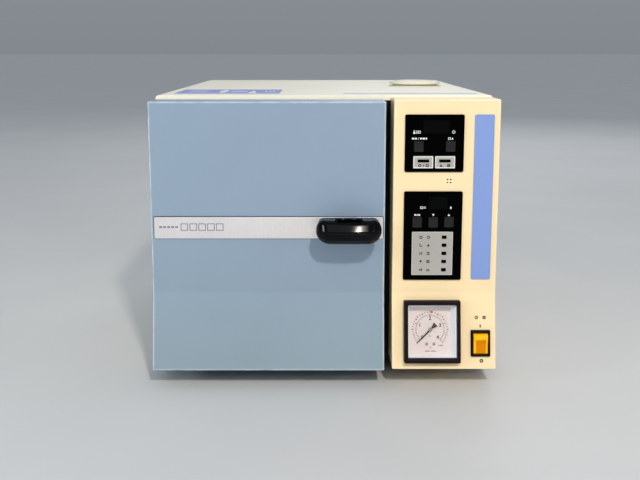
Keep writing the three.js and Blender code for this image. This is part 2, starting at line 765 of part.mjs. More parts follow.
// Points up while the door is free and points right, behind the keeper, once it is turned.
function latchArm() {
  const { front, rear, width, reach } = ARM;
  const shape = new THREE.Shape();
  shape.moveTo(width / 2, 0);
  shape.lineTo(width / 2, reach);
  shape.lineTo(-width / 2, reach);
  shape.lineTo(-width / 2, 0);
  shape.absarc(0, 0, width / 2, Math.PI, Math.PI * 2);
  shape.holes.push(circle(0, 0, SHAFT_END_RADIUS + FIT));
  return frontPlate(shape, front, rear, 8);
}

function addDoor() {
  add('door_cover', doorCover(), DOOR_BLUE);
  add('door_trim_strip', trimStrip(), SATIN, [0, 0, 0], upperFace);
  add('door_crossbeam', crossbeam(), STEEL);
  add('pressure_lid', pressureLid(), STEEL, [CHAMBER_X, 0, CHAMBER_Z]);
  add('lid_gasket', lidGasket(), SILICONE, [CHAMBER_X, 0, CHAMBER_Z]);
  add('lid_stud', lidStud(), STEEL, [CHAMBER_X, 0, CHAMBER_Z]);
  add('hinge_pin', hingePin(), STEEL, [HINGE.x, HINGE.y, 0]);
  const upperEar = BEAM.top + EAR_GAP;
  const lowerEar = BEAM.bottom - EAR_GAP;
  const upper = hingeBracket(upperEar, upperEar + 28, upperEar, upperEar + EAR_HEIGHT);
  const lower = hingeBracket(lowerEar - 28, lowerEar, lowerEar - EAR_HEIGHT, lowerEar);
  add('hinge_bracket_upper', upper, STEEL);
  add('hinge_bracket_lower', lower, STEEL);
  add('latch_keeper', latchKeeper(), STEEL);
  const turning = [HANDLE.x, 0, HANDLE.z];
  add('handle_grip', handleGrip(), BLACK, turning);
  add('handle_shaft', handleShaft(), STEEL, turning);
  add('latch_arm', latchArm(), STEEL, turning);
}

// ---------------------------------------------------------------- control housing

function controlHousing() {
  const shell = creasedShell(HOUSING);
  const through = (area, faceGroup) => fromFace(frontPlate(faceShape(area), -8, 8), faceGroup);
  const sounderHoles = [];
  for (const across of [-0.5, 0.5]) {
    for (const up of [-0.5, 0.5]) {
      const x = SOUNDER.x + across * SOUNDER.holeSpacing;
      const z = upFace(SOUNDER.z) + up * SOUNDER.holeSpacing;
      sounderHoles.push(fromFace(rod(SOUNDER.holeRadius, -8, 8, 10).translate(x, 0, z), upperFace));
    }
  }
  return cut(
    shell,
    through(grown(UPPER_PANEL, -6), upperFace),
    through(grown(LOWER_PANEL, -6), upperFace),
    through(grown(GAUGE_WINDOW, 2.6), lowerFace),
    through(grown(ROCKER, 1.8), lowerFace),
    ...sounderHoles,
  );
}

const KEY_CLEARANCE = 0.4;

function keyArea({ x, z }, margin) {
  const halfWidth = KEY.width / 2 + margin;
  const halfHeight = KEY.height / 2 + margin;
  return { left: x - halfWidth, right: x + halfWidth, bottom: z - halfHeight, top: z + halfHeight };
}

// A plate on the face with rectangular openings through it.
function piercedPlate(area, radius, openings, yFront, yRear) {
  const plate = frontPlate(faceShape(area, radius), yFront, yRear, 3);
  const tools = openings.map((opening) => frontPlate(faceShape(opening), yFront - 1, yRear + 1));
  return cut(plate, ...tools);
}

function keyPanel(area, keyNames) {
  const openings = keyNames.map((name) => keyArea(KEYS[name], KEY_CLEARANCE));
  return piercedPlate(area, 2, openings, -FIT - PANEL_THICKNESS, -FIT);
}

const ON_PANEL = -2 * FIT - PANEL_THICKNESS; // local y of a piece's back when it lies on a panel

function labelPlate(area, slots) {
  return piercedPlate(area, 0.8, slots, ON_PANEL - LABEL_THICKNESS, ON_PANEL);
}

function addKeys() {
  const front = -FIT - PANEL_THICKNESS - KEY.proud;
  for (const [name, place] of Object.entries(KEYS)) {
    const key = frontPlate(faceShape(keyArea(place, 0), 1), front, front + KEY.depth, 2);
    add(name, key, DARK_GREY, [0, 0, 0], upperFace);
  }
}

function addPanels() {
  const onFaceAdd = (name, geometry, material) => add(name, geometry, material, [0, 0, 0], upperFace);
  onFaceAdd('upper_panel', keyPanel(UPPER_PANEL, ['key_program', 'key_start']), BLACK);
  onFaceAdd('lower_panel', keyPanel(LOWER_PANEL, ['key_mode', 'key_down', 'key_up']), BLACK);
  const leftLabel = { left: 101, right: 124.1, bottom: 259.4, top: 273.7 };
  const leftSlot = { left: 106.4, right: 119.2, bottom: 266.4, top: 269.4 };
  const rightLabel = { left: 125.9, right: 149, bottom: 259.4, top: 273.7 };
  const rightSlot = { left: 130.8, right: 143.6, bottom: 266.4, top: 269.4 };
  onFaceAdd('mode_label_left', labelPlate(leftLabel, [leftSlot]), LABEL_GREY);
  onFaceAdd('mode_label_right', labelPlate(rightLabel, [rightSlot]), LABEL_GREY);
  const plate = { left: 100.9, right: 148.6, bottom: 133.7, top: 185.4 };
  const windows = INDICATOR_HEIGHTS.map((z) => ({ left: 135.8, right: 141, bottom: z - 1.9, top: z + 1.9 }));
  onFaceAdd('indicator_plate', labelPlate(plate, windows), LABEL_GREY);
  onFaceAdd('blue_stripe', frontPlate(faceShape(STRIPE, 2), -FIT - 0.8, -FIT, 3), STRIPE_BLUE);
}

// A square-faced gauge: a thick bezel, a body through the housing and a deep window pocket.
function gaugeCase() {
  const bezel = frontPlate(faceShape(GAUGE, 2.5), -9, -FIT, 3);
  const body = frontPlate(faceShape(grown(GAUGE_WINDOW, 2)), -1, 24);
  const pocket = frontPlate(faceShape(GAUGE_WINDOW), -20, 9);
  return cut(join(bezel, body), pocket);
}

function gaugePointer() {
  const shape = outline([[-1.6, -9], [1.6, -9], [0.35, 24], [-0.35, 24]]);
  const needle = frontPlate(shape, 4.2, 5);
  const hub = rod(3, 3.6, 7, 16);
  const startAngle = -Math.PI * 0.75; // zero is at the lower left of the scale
  return join(needle, hub).rotateY(startAngle);
}

function addGauge() {
  const inside = grown(GAUGE_WINDOW, -FIT);
  const dial = frontPlate(faceShape(inside), 7.4, 8.4);
  const glass = frontPlate(faceShape(inside), -5.5, -3.5);
  const onLower = (name, geometry, material, place = [0, 0, 0]) =>
    add(name, geometry, material, place, lowerFace);
  onLower('gauge_case', gaugeCase(), BLACK);
  onLower('gauge_dial', dial, DIAL_WHITE);
  onLower('gauge_pointer', gaugePointer(), BLACK, [GAUGE.dialX, 0, upFace(GAUGE.dialZ)]);
  onLower('gauge_glass', glass, GLASS);
}

const ROCKER_PIVOT_DEPTH = 4;
const ROCKER_TILT = THREE.MathUtils.degToRad(9); // each way from the middle

// Two gently sloping halves about a pivot on the group's x axis, with the upper half standing out.
function rockerShape(half) {
  const [middle, ends, back] = [2.6, 4, 7];
  const profile = outline([
    [2, -half],
    [-ends, -half],
    [-middle, 0],
    [-ends, half],
    [2, half],
    [back, half * 0.3],
    [back, -half * 0.3],
  ]);
  const solid = crosswise(profile, ROCKER.left, ROCKER.right);
  return solid.translate(0, -ROCKER_PIVOT_DEPTH, 0).rotateX(ROCKER_TILT);
}

function addSwitch() {
  const rim = frontPlate(faceShape(SWITCH, 1.5), -2.8, -FIT, 3);
  const body = frontPlate(faceShape(grown(ROCKER, 1.4)), -1, 18);
  const pocket = frontPlate(faceShape(grown(ROCKER, 0.4)), -20, 14);
  add('switch_bezel', cut(join(rim, body), pocket), BLACK, [0, 0, 0], lowerFace);
  const [bottom, top] = [upFace(ROCKER.bottom), upFace(ROCKER.top)];
  const half = (top - bottom) / 2 - 1.1;
  const pivot = [0, ROCKER_PIVOT_DEPTH, (bottom + top) / 2];
  add('switch_rocker', rockerShape(half), AMBER, pivot, lowerFace);
}

function addHousing() {
  add('control_housing', controlHousing(), CREAM);
  addPanels();
  addKeys();
  addGauge();
  addSwitch();
}

// ---------------------------------------------------------------- the whole object

addCabinet();
addPressureSystem();
addElectrics();
addDoor();
addHousing();

assembly.position.y = -(HANDLE.front + REAR_MOST) / 2;

export default object;
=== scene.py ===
"""Looks of the benchtop autoclave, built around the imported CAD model.

Lengths are millimetres, except in the studio, and meshes turn into metres as they are built.
Positions come from the CAD nodes' boxes; the few face dimensions below are shared with the CAD
model's own driving dimensions.
"""

import math

import bmesh
import bpy
from mathutils import Matrix, Vector


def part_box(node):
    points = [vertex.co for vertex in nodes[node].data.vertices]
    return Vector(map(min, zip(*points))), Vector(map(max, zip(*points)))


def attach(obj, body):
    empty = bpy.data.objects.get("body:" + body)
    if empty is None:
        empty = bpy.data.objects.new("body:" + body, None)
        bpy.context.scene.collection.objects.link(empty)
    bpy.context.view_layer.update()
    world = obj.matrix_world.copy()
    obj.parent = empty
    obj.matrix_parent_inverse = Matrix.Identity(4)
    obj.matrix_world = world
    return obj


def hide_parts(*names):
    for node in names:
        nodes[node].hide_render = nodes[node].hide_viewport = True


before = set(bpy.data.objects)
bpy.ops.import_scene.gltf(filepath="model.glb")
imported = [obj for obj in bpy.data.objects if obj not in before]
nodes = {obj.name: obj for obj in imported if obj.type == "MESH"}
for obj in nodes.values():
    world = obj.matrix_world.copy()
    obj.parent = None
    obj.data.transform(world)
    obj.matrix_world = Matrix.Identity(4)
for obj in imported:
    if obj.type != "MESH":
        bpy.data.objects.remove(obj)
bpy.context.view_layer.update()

MM = 0.001  # metres
MERGE = 1e-7  # metres: points closer than this are one point
IDENTITY = Matrix.Identity(4)


def box(name):
    """A CAD node's lowest and highest corners."""
    return [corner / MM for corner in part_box(name)]


def middle(name):
    low, high = box(name)
    return (low + high) / 2


# ------------------------------------------------------------------ the creased face

DOOR_LO, DOOR_HI = box("door_cover")
HOUSING_LO, HOUSING_HI = box("control_housing")
COVER_LO, COVER_HI = box("cabinet_cover")
FRONT_PLANE = COVER_LO.y  # the cabinet's front plane
CREASE = Vector((0, FRONT_PLANE - 42, 112))
UPPER_TILT = math.atan(10 / 226)
LOWER_TILT = -math.atan(13 / 90)


def face_matrix(tilt):
    """Local z runs up the face from the crease, and local y runs into the cabinet."""
    return Matrix.Translation(CREASE) @ Matrix.Rotation(tilt, 4, "X")


UPPER = face_matrix(UPPER_TILT)
LOWER = face_matrix(LOWER_TILT)


def tilt_at(height):
    return UPPER_TILT if height > CREASE.z else LOWER_TILT


def up_face(height):
    """Distance along the face from the crease to a height above the table."""
    return (height - CREASE.z) / math.cos(tilt_at(height))


def face_depth(height):
    """y of the creased face at a height."""
    return CREASE.y - (height - CREASE.z) * math.tan(tilt_at(height))


# ------------------------------------------------------------------ node materials


class Nodes:
    """A small builder for one node material."""

    def __init__(self, name):
        self.material = bpy.data.materials.new(name)
        self.material.use_nodes = True
        self.tree = self.material.node_tree
        self.coordinates = self.add("TexCoord", {}).outputs["Object"]

    def fill(self, node, inputs):
        """Links the inputs that are sockets and sets the others."""
        for key, value in inputs.items():
            if isinstance(value, bpy.types.NodeSocket):
                self.tree.links.new(value, node.inputs[key])
            else:
                node.inputs[key].default_value = value

    def add(self, kind, inputs, **settings):
        node = self.tree.nodes.new("ShaderNode" + kind)
        for setting, value in settings.items():
            setattr(node, setting, value)
        self.fill(node, inputs)
        return node

    def noise(self, scale, detail=3, stretch=(1, 1, 1)):
        place = self.add("Mapping", {"Vector": self.coordinates, "Scale": stretch})
        return self.add("TexNoise", {"Vector": place.outputs["Vector"], "Scale": scale,
                                     "Detail": detail, "Roughness": 0.55}).outputs["Fac"]

    def remap(self, value, low, high, to_low=0, to_high=1):
        return self.add("MapRange", {"Value": value, "From Min": low, "From Max": high,
                                     "To Min": to_low, "To Max": to_high}).outputs["Result"]

    def math(self, operation, a, b):
        return self.add("Math", {0: a, 1: b}, operation=operation).outputs[0]

    def mix(self, factor, a, b):
        """Mixes two colours, each a socket or a tuple."""
        a, b = ((*color, 1) if isinstance(color, tuple) else color for color in (a, b))
        return self.add("Mix", {"Factor": factor, 6: a, 7: b}, data_type="RGBA").outputs[2]

    def edges(self, radius, start, end):
        """1 on sharp outer edges and 0 on flat faces."""
        rounded = self.add("Bevel", {"Radius": radius * MM}, samples=4).outputs["Normal"]
        normal = self.add("NewGeometry", {}).outputs["Normal"]
        dot = self.add("VectorMath", {0: rounded, 1: normal}, operation="DOT_PRODUCT")
        return self.remap(dot.outputs["Value"], start, end)

    def finish(self, color, roughness, relief=None, depth=0, **values):
        """Sets the surface, with a relief raised by depth, and returns the material."""
        shader = self.tree.nodes["Principled BSDF"]
        self.fill(shader, {"Base Color": color, "Roughness": roughness})
        self.fill(shader, {name.replace("_", " "): value for name, value in values.items()})
        if relief is not None:
            bump = self.add("Bump", {"Height": relief, "Distance": depth * MM, "Strength": 1})
            self.fill(shader, {"Normal": bump.outputs["Normal"]})
        return self.material


def tinted(color, factor):
    return tuple(min(1.0, channel * factor) for channel in color)


def specked(m, body, share, color):
    """A body colour with fine specks of another."""
    grain = m.remap(m.noise(900, 2), 0.35, 0.65)
    return m.mix(m.math("MULTIPLY", grain, share), body, color)


def rubbed(m, body, radius, flat, low, high, color):
    """A body colour whose sharp edges are pale in patches: partly rubbed paint and partly a painted
    highlight line along the edges.
    """
    edge = m.edges(radius, flat, 0.94)
    patchy = m.remap(m.noise(60, 5), low, high)
    return m.mix(m.math("MULTIPLY", edge, m.math("MULTIPLY", patchy, 0.9)), body, color)


def paint(name, color, rough, edge_wear_and_highlight=None, speckle=0.04, shine=0.5):
    """Stove enamel: faint clouding, orange peel, dust specks and edges that are pale in patches,
    partly worn and partly a painted highlight line.
    """
    m = Nodes(name)
    body = m.mix(m.remap(m.noise(9, 4), 0.3, 0.7), tinted(color, 0.965), tinted(color, 1.03))
    body = specked(m, body, speckle, tinted(color, 0.75))
    if edge_wear_and_highlight is not None:
        # the pale edge colour is partly wear and partly a painted highlight line along the edges
        body = rubbed(m, body, 2.2, 0.993, 0.17, 0.62, edge_wear_and_highlight)
    return m.finish(body, m.remap(m.noise(25, 4), 0.3, 0.7, rough - 0.05, rough + 0.07),
                    m.noise(420, 2), 0.06, IOR=1.5, Specular_IOR_Level=shine)


def door_paint(name):
    """Grey-blue enamel that turns a little less blue towards the bottom of the door."""
    m = Nodes(name)
    upper_blue, lower_blue = (0.252, 0.335, 0.440), (0.255, 0.333, 0.385)
    height = m.add("SeparateXYZ", {"Vector": m.coordinates}).outputs["Z"]
    cloud = m.remap(m.noise(7, 4), 0.3, 0.7)
    body = m.mix(m.remap(height, 0.20, 0.04),  # metres
                 m.mix(cloud, tinted(upper_blue, 0.97), tinted(upper_blue, 1.03)),
                 m.mix(cloud, tinted(lower_blue, 0.96), tinted(lower_blue, 1.03)))
    body = specked(m, body, 0.05, tinted(upper_blue, 0.7))
    # pale blue-white edges: partly worn paint, partly a painted highlight line along the door's
    # edges
    body = rubbed(m, body, 2.4, 0.995, 0.2, 0.55, (0.80, 0.88, 0.92))
    return m.finish(body, m.remap(m.noise(25, 4), 0.3, 0.7, 0.33, 0.45), m.noise(420, 2), 0.06,
                    IOR=1.5)


def plastic(name, color, rough, texture=0.03, scale=1400, shine=0.5):
    """Moulded plastic: fine spark-eroded grain and slight handling marks."""
    m = Nodes(name)
    cloud = m.remap(m.noise(30, 5), 0.3, 0.7)
    smears = m.remap(m.noise(14, 6, (1, 1, 2.5)), 0.35, 0.7, rough - 0.04, rough + 0.08)
    return m.finish(m.mix(cloud, tinted(color, 0.94), tinted(color, 1.06)), smears,
                    m.noise(scale, 2), texture, IOR=1.49, Specular_IOR_Level=shine)


def metal(name, color, rough, direction, brush=0.02, anisotropy=0.0):
    """Brushed metal: streaks across one direction, with dull patches."""
    m = Nodes(name)
    streaks = m.noise(180, 3, direction)
    patches = m.remap(m.noise(16, 4), 0.3, 0.7, -0.05, 0.07)
    dull = m.math("ADD", m.remap(streaks, 0.3, 0.7, rough - 0.06, rough + 0.08), patches)
    color = m.mix(m.remap(streaks, 0.3, 0.7), tinted(color, 0.9), tinted(color, 1.06))
    return m.finish(color, dull, streaks, brush, Metallic=1.0, Anisotropic=anisotropy)


def printed(name, color, rough=0.45):
    """Screen-printed ink or film: nearly flat, with a little ink texture."""
    m = Nodes(name)
    fleck = m.remap(m.noise(2200, 2), 0.35, 0.65)
    return m.finish(m.mix(fleck, tinted(color, 0.93), tinted(color, 1.04)),
                    m.remap(m.noise(90), 0.3, 0.7, rough - 0.05, rough + 0.06), fleck, 0.01)


def rubber(name, color, dusty=2.2):
    m = Nodes(name)
    dust = m.remap(m.noise(70, 5), 0.45, 0.7)
    return m.finish(m.mix(dust, color, tinted(color, dusty)),
                    m.remap(m.noise(300), 0.3, 0.7, 0.65, 0.85), m.noise(1500, 2), 0.06)


def clear_window(name):
    """A thin clear window: nearly all of it lets light through, and faint smears dull it."""
    m = Nodes(name)
    haze = m.noise(40, 5)
    return m.finish(m.mix(m.remap(haze, 0.3, 0.7), (0.90, 0.92, 0.93), (1.0, 1.0, 1.0)),
                    m.remap(haze, 0.4, 0.8, 0.03, 0.12), IOR=1.45, Alpha=0.03)


def amber(name, low, high, glow, shine):
    """Translucent amber moulding with a lamp housing behind it."""
    m = Nodes(name)
    return m.finish(m.mix(m.remap(m.noise(90), 0.3, 0.7), low, high),
                    m.remap(m.noise(200), 0.3, 0.7, 0.12, 0.24), m.noise(700, 2), 0.02, IOR=1.49,
                    Specular_IOR_Level=shine, Emission_Color=(1.0, 0.42, 0.02, 1.0),
                    Emission_Strength=glow)


def wool(name):
    m = Nodes(name)
    fibre = m.noise(900, 6, (1, 0.2, 1))
    return m.finish(m.mix(m.remap(fibre, 0.3, 0.7), (0.50, 0.47, 0.36), (0.72, 0.69, 0.58)),
                    m.remap(fibre, 0.3, 0.7, 0.85, 0.98), fibre, 0.8)


def circuit(name):
    """Solder-resist green with a web of lighter tracks."""
    m = Nodes(name)
    web = m.add("TexVoronoi", {"Vector": m.coordinates, "Scale": 260}, feature="DISTANCE_TO_EDGE")
    tracks = m.remap(web.outputs["Distance"], 0.03, 0.06)
    return m.finish(m.mix(tracks, (0.06, 0.22, 0.10), (0.015, 0.09, 0.04)),
                    m.remap(m.noise(120), 0.3, 0.7, 0.3, 0.45), tracks, 0.03)


MATERIALS = {
    # the third colour of each paint is its pale edges, partly wear and partly a painted highlight
    # line
    "cabinet": paint("cabinet_paint", (0.89, 0.845, 0.715), 0.48, (1.0, 0.96, 0.82)),
    "housing": paint("housing_paint", (0.93, 0.73, 0.435), 0.40, (1.0, 0.94, 0.78)),
    "door": door_paint("door_paint"),
    # black enamel for the front frame and base chassis: painted shade, darkening the shadowed gap
    # beside the door and the edge under it
    "frame": paint("frame_paint", (0.007, 0.006, 0.005), 0.5, shine=0.12),
    "cap": paint("cap_plastic", (0.74, 0.69, 0.54), 0.30, speckle=0.03),
    "stripe": printed("stripe_film", (0.215, 0.32, 0.66), 0.4),
    "label_blue": printed("top_label_film", (0.26, 0.31, 0.66), 0.55),
    "label": printed("label_film", (0.405, 0.39, 0.36), 0.5),
    "label_rim": printed("label_rim_film", (0.60, 0.585, 0.55)),
    "white_film": printed("white_film", (0.74, 0.73, 0.70)),
    "dial": printed("dial_card", (0.76, 0.64, 0.605), 0.55),
    "slate_ink": printed("slate_ink", (0.16, 0.19, 0.25)),
    "white_ink": printed("white_ink", (0.82, 0.82, 0.80), 0.5),
    "black_ink": printed("black_ink", (0.006, 0.006, 0.007), 0.6),
    "red_ink": printed("red_ink", (0.55, 0.01, 0.015), 0.5),
    "black": plastic("black_plastic", (0.0015, 0.0015, 0.002), 0.28, shine=0.12),
    "bezel": plastic("bezel_plastic", (0.011, 0.0058, 0.0056), 0.34, 0.05, 1100, 0.10),
    "grip": plastic("grip_bakelite", (0.0004, 0.0004, 0.0006), 0.12, 0.004, 500, 0.14),
    "panel": plastic("panel_membrane", (0.0002, 0.0002, 0.0003), 0.32, 0.01, 900, 0.02),
    "window": plastic("display_window", (0.0012, 0.0020, 0.0015), 0.10, 0.002, 300, 0.03),
    "key": plastic("key_plastic", (0.0165, 0.0155, 0.0165), 0.45, 0.04, 1600, 0.12),
    # dark navy seal round the trim strip: a painted shadow line
    "navy": plastic("seal_navy_painted_shadow", (0.012, 0.016, 0.035), 0.4, shine=0.2),
    # bluish white surround: partly its own white, partly a painted reflection on the window's right
    "wall": plastic("gauge_wall", (0.84, 0.87, 0.90), 0.35, 0.01),
    "hub": plastic("hub_grey", (0.20, 0.24, 0.20), 0.35),
    "tank": plastic("tank_plastic", (0.70, 0.69, 0.64), 0.4),
    "amber": amber("amber_lens", (0.90, 0.42, 0.0), (1.0, 0.56, 0.004), 0.16, 0.25),
    "amber_dark": amber("amber_inlay", (0.60, 0.185, 0.0), (0.70, 0.23, 0.0), 0.05, 0.08),
    "trim": metal("trim_satin", (0.93, 0.895, 0.89), 0.46, (40, 1, 1), 0.008),
    "steel": metal("zinc_steel", (0.56, 0.57, 0.59), 0.34, (1, 1, 20), 0.03),
    "stainless": metal("stainless", (0.66, 0.665, 0.67), 0.28, (1, 30, 1), anisotropy=0.3),
    "spun": metal("spun_stainless", (0.66, 0.665, 0.67), 0.22, (6, 1, 6), 0.01),
    "bronze": metal("bronze_screw", (0.38, 0.30, 0.22), 0.35, (1, 1, 4)),
    "brass": metal("brass", (0.66, 0.46, 0.19), 0.26, (1, 30, 1)),
    "copper": metal("copper", (0.70, 0.36, 0.22), 0.30, (1, 10, 1)),
    "rubber": rubber("foot_rubber", (0.018, 0.018, 0.018)),
    "silicone": rubber("silicone_seal", (0.50, 0.47, 0.42), 1.12),
    "wool": wool("glass_wool"),
    "circuit": circuit("circuit_board"),
    "glass": clear_window("gauge_window"),
}


# ------------------------------------------------------------------ outlines


def bend(start, corner, end, steps):
    """Points of a smooth bend from start to end, drawn towards the corner."""
    return [(1 - t) ** 2 * start + 2 * t * (1 - t) * corner + t ** 2 * end
            for t in (k / steps for k in range(steps + 1))]


def filleted(points, radius=0, steps=6):
    """A closed outline with each corner rounded; a point may carry its own radius."""
    result = []
    for i, point in enumerate(points):
        own = point[2] if len(point) > 2 else radius
        corner = Vector(point[:2])
        if own <= 0:
            result.append(corner)
            continue
        before = Vector(points[i - 1][:2]) - corner
        after = Vector(points[(i + 1) % len(points)][:2]) - corner
        reach = min(own / math.tan(before.angle(after) / 2), before.length * 0.45,
                    after.length * 0.45)
        result += bend(corner + before.normalized() * reach, corner,
                       corner + after.normalized() * reach, steps)
    return result


def rectangle(left, right, bottom, top, radius=0, steps=5):
    return filleted([(left, bottom), (right, bottom), (right, top), (left, top)], radius, steps)


def front_view(low, high, inset=0, radius=0):
    """A box's outline from the front, moved inwards by an amount."""
    return rectangle(low.x + inset, high.x - inset, low.z + inset, high.z - inset, radius)


def ellipse(x, z, across, up, count):
    return [Vector((x + across * math.cos(a), z + up * math.sin(a)))
            for a in (2 * math.pi * i / count for i in range(count))]


def inset_outline(points, amount):
    """A convex outline moved inwards by about the amount."""
    centre = sum(points, Vector((0, 0))) / len(points)
    half = Vector((max(abs((p - centre).x) for p in points),
                   max(abs((p - centre).y) for p in points)))
    return [Vector((centre.x + (p.x - centre.x) * (1 - amount / half.x),
                    centre.y + (p.y - centre.y) * (1 - amount / half.y))) for p in points]


# ------------------------------------------------------------------ meshes


def lofted(rings, loop=False):
    """A mesh through rings of equal point count, closed at its ends or round into a loop."""
    bm = bmesh.new()
    made = [[bm.verts.new(point) for point in ring] for ring in rings]
    for lower, upper in zip(made, made[1:] + made[:1] if loop else made[1:]):
        for i in range(len(lower)):
            bm.faces.new((lower[i - 1], lower[i], upper[i], upper[i - 1]))
    if not loop:
        bm.faces.new(made[0][::-1])
        bm.faces.new(made[-1])
    bmesh.ops.scale(bm, vec=(MM, MM, MM), verts=bm.verts)
    bmesh.ops.remove_doubles(bm, verts=bm.verts, dist=MERGE)
    bmesh.ops.recalc_face_normals(bm, faces=bm.faces)
    mesh = bpy.data.meshes.new("mesh")
    bm.to_mesh(mesh)
    bm.free()
    return mesh


def prism(axis, outline, start, end, matrix=IDENTITY):
    """An outline drawn in the two other directions, extruded along an axis."""
    order = {"X": (2, 0, 1), "Y": (0, 2, 1), "Z": (0, 1, 2)}[axis]
    return lofted([[matrix @ Vector([(p[0], p[1], level)[i] for i in order]) for p in outline]
                   for level in (start, end)])


def block(low, high, matrix=IDENTITY):
    return prism("Y", rectangle(low[0], high[0], low[2], high[2]), low[1], high[1], matrix)


def on_face(outline, y, face):
    """An outline drawn on a face, at a depth."""
    return [face @ Vector((p.x, y, p.y)) for p in outline]


def stepped(outline, rows):
    """An outline on the upper face, lofted through rows of (inset, y)."""
    return lofted([on_face(inset_outline(outline, inset), y, UPPER) for inset, y in rows])


def plate(outline, front, rear, edge, steps=3):
    """A plate on the upper face with a rounded front edge."""
    angles = [math.pi / 2 * k / steps for k in range(steps + 1)]
    return stepped(outline, [(0, rear)] + [(edge * (1 - math.cos(a)),
                                            front + edge * (1 - math.sin(a))) for a in angles])


def lathe(profile, centre, axis="Y", segments=96, radius=0.01, steps=3):
    """A profile of (radius, distance) turned about an axis through the centre."""
    points = filleted(profile, radius, steps)
    rings = []
    for i in range(segments):
        cosine, sine = (f(2 * math.pi * i / segments) for f in (math.cos, math.sin))
        ring = [(max(p.x, 0.0) * cosine, p.y, max(p.x, 0.0) * sine) for p in points]
        if axis == "Z":
            ring = [(across, up, along) for across, along, up in ring]
        rings.append([Vector(centre) + Vector(p) for p in ring])
    return lofted(rings, loop=True)


def tube(points, radius, turn, sides=24, steps=12):
    """A round bar through the points, with each corner bent to the given radius."""
    corners = [Vector(p) for p in points]
    path = [corners[0]]
    for before, corner, after in zip(corners, corners[1:], corners[2:]):
        path += bend(corner + (before - corner).normalized() * turn, corner,
                     corner + (after - corner).normalized() * turn, steps)
    path.append(corners[-1])
    rings = []
    side = (path[1] - path[0]).orthogonal().normalized()
    for i, point in enumerate(path):
        along = (path[min(i + 1, len(path) - 1)] - path[max(i - 1, 0)]).normalized()
        side = (side - along * side.dot(along)).normalized()
        up = along.cross(side)
        rings.append([point + radius * (math.cos(a) * side + math.sin(a) * up)
                      for a in (2 * math.pi * k / sides for k in range(sides))])
    return lofted(rings)


def joined(meshes):
    """One mesh holding several."""
    bm = bmesh.new()
    for mesh in meshes:
        bm.from_mesh(mesh)
    result = bpy.data.meshes.new("joined")
    bm.to_mesh(result)
    bm.free()
    return result


def placed(mesh, matrix):
    """A finished mesh moved by a matrix."""
    mesh.transform(Matrix.Scale(MM, 4) @ matrix @ Matrix.Scale(1 / MM, 4))
    return mesh


def new_object(name, data):
    thing = bpy.data.objects.new(name, data)
    bpy.context.scene.collection.objects.link(thing)
    return thing


def evaluated(thing):
    """The mesh that an object ends up as. The object itself is removed."""
    bpy.context.view_layer.update()
    graph = bpy.context.evaluated_depsgraph_get()
    result = bpy.data.meshes.new_from_object(thing.evaluated_get(graph))
    bpy.data.objects.remove(thing)
    return result


def combined(mesh, operation, others):
    work = new_object("work", mesh)
    tools = [new_object("tool", other) for other in others]
    for tool in tools:
        modifier = work.modifiers.new("boolean", "BOOLEAN")
        modifier.operation = operation
        modifier.solver = "EXACT"
        modifier.object = tool
    result = evaluated(work)
    for tool in tools:
        bpy.data.objects.remove(tool)
    return result


def cut(mesh, *tools):
    return combined(mesh, "DIFFERENCE", tools)


def union(mesh, *others):
    return combined(mesh, "UNION", others)


def add_bevel(thing, width, segments, angle):
    modifier = thing.modifiers.new("bevel", "BEVEL")
    modifier.width = width * MM
    modifier.segments = segments
    modifier.limit_method = "ANGLE"
    modifier.angle_limit = math.radians(angle)
    return modifier


def bevelled(mesh, width, segments=2, angle=40):
    work = new_object("work", mesh)
    add_bevel(work, width, segments, angle).miter_outer = "MITER_ARC"
    return evaluated(work)


def shade(mesh, smooth_angle):
    mesh.shade_smooth()
    mesh.set_sharp_from_angle(angle=math.radians(smooth_angle))


def add(name, mesh, material, body, node=None, smooth_angle=35, weighted=True):
    """Adds a piece on a body, smooth except across edges over the angle, in one of the materials.
    It may stand for a CAD node, which it then hides."""
    piece = new_object(name, mesh)
    mesh.materials.clear()
    mesh.materials.append(MATERIALS[material])
    for polygon in mesh.polygons:
        polygon.material_index = 0
    shade(mesh, smooth_angle)
    if weighted:
        piece.modifiers.new("normals", "WEIGHTED_NORMAL").keep_sharp = True
    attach(piece, body)
    if node:
        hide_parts(node)


def add_turned(name, profile, centre, material, body, slot, node=None, **shape):
    """Adds a piece turned on a lathe."""
    add(name, lathe(profile, centre, **shape), material, body, node, weighted=False)


def soften(name, material, width, segments=2):
    """Keeps a CAD node, with its sharp edges broken and a better material."""
    node = nodes[name]
    node.data.materials.clear()
    node.data.materials.append(MATERIALS[material])
    node.modifiers.new("weld", "WELD").merge_threshold = 0.005 * MM
    if width > 0:
        add_bevel(node, width, segments, 40)
        node.modifiers.new("normals", "WEIGHTED_NORMAL")
    shade(node.data, 40)


# ------------------------------------------------------------------ camera, light and floor
# Everything in this part is in metres.


def make_camera():
    data = bpy.data.cameras.new("camera")
    camera = new_object("camera", data)
    ahead, height, down = 1.0461, 0.3949, 0.115
    camera.location = (-0.0049, FRONT_PLANE * MM - ahead, height)
    camera.rotation_euler = (math.pi / 2 - down, 0, 0)
    data.lens = 49.57
    data.sensor_width = 36
    data.shift_y = -0.14
    data.clip_start = 0.05
    bpy.context.scene.camera = camera


def area_light(name, location, target, size, power, color=(1, 1, 1)):
    data = bpy.data.lights.new(name, "AREA")
    data.shape = "RECTANGLE"
    data.size, data.size_y = size
    data.energy = power
    data.color = color
    light = new_object(name, data)
    light.location = location
    direction = Vector(target) - Vector(location)
    light.rotation_euler = direction.to_track_quat("-Z", "Y").to_euler()


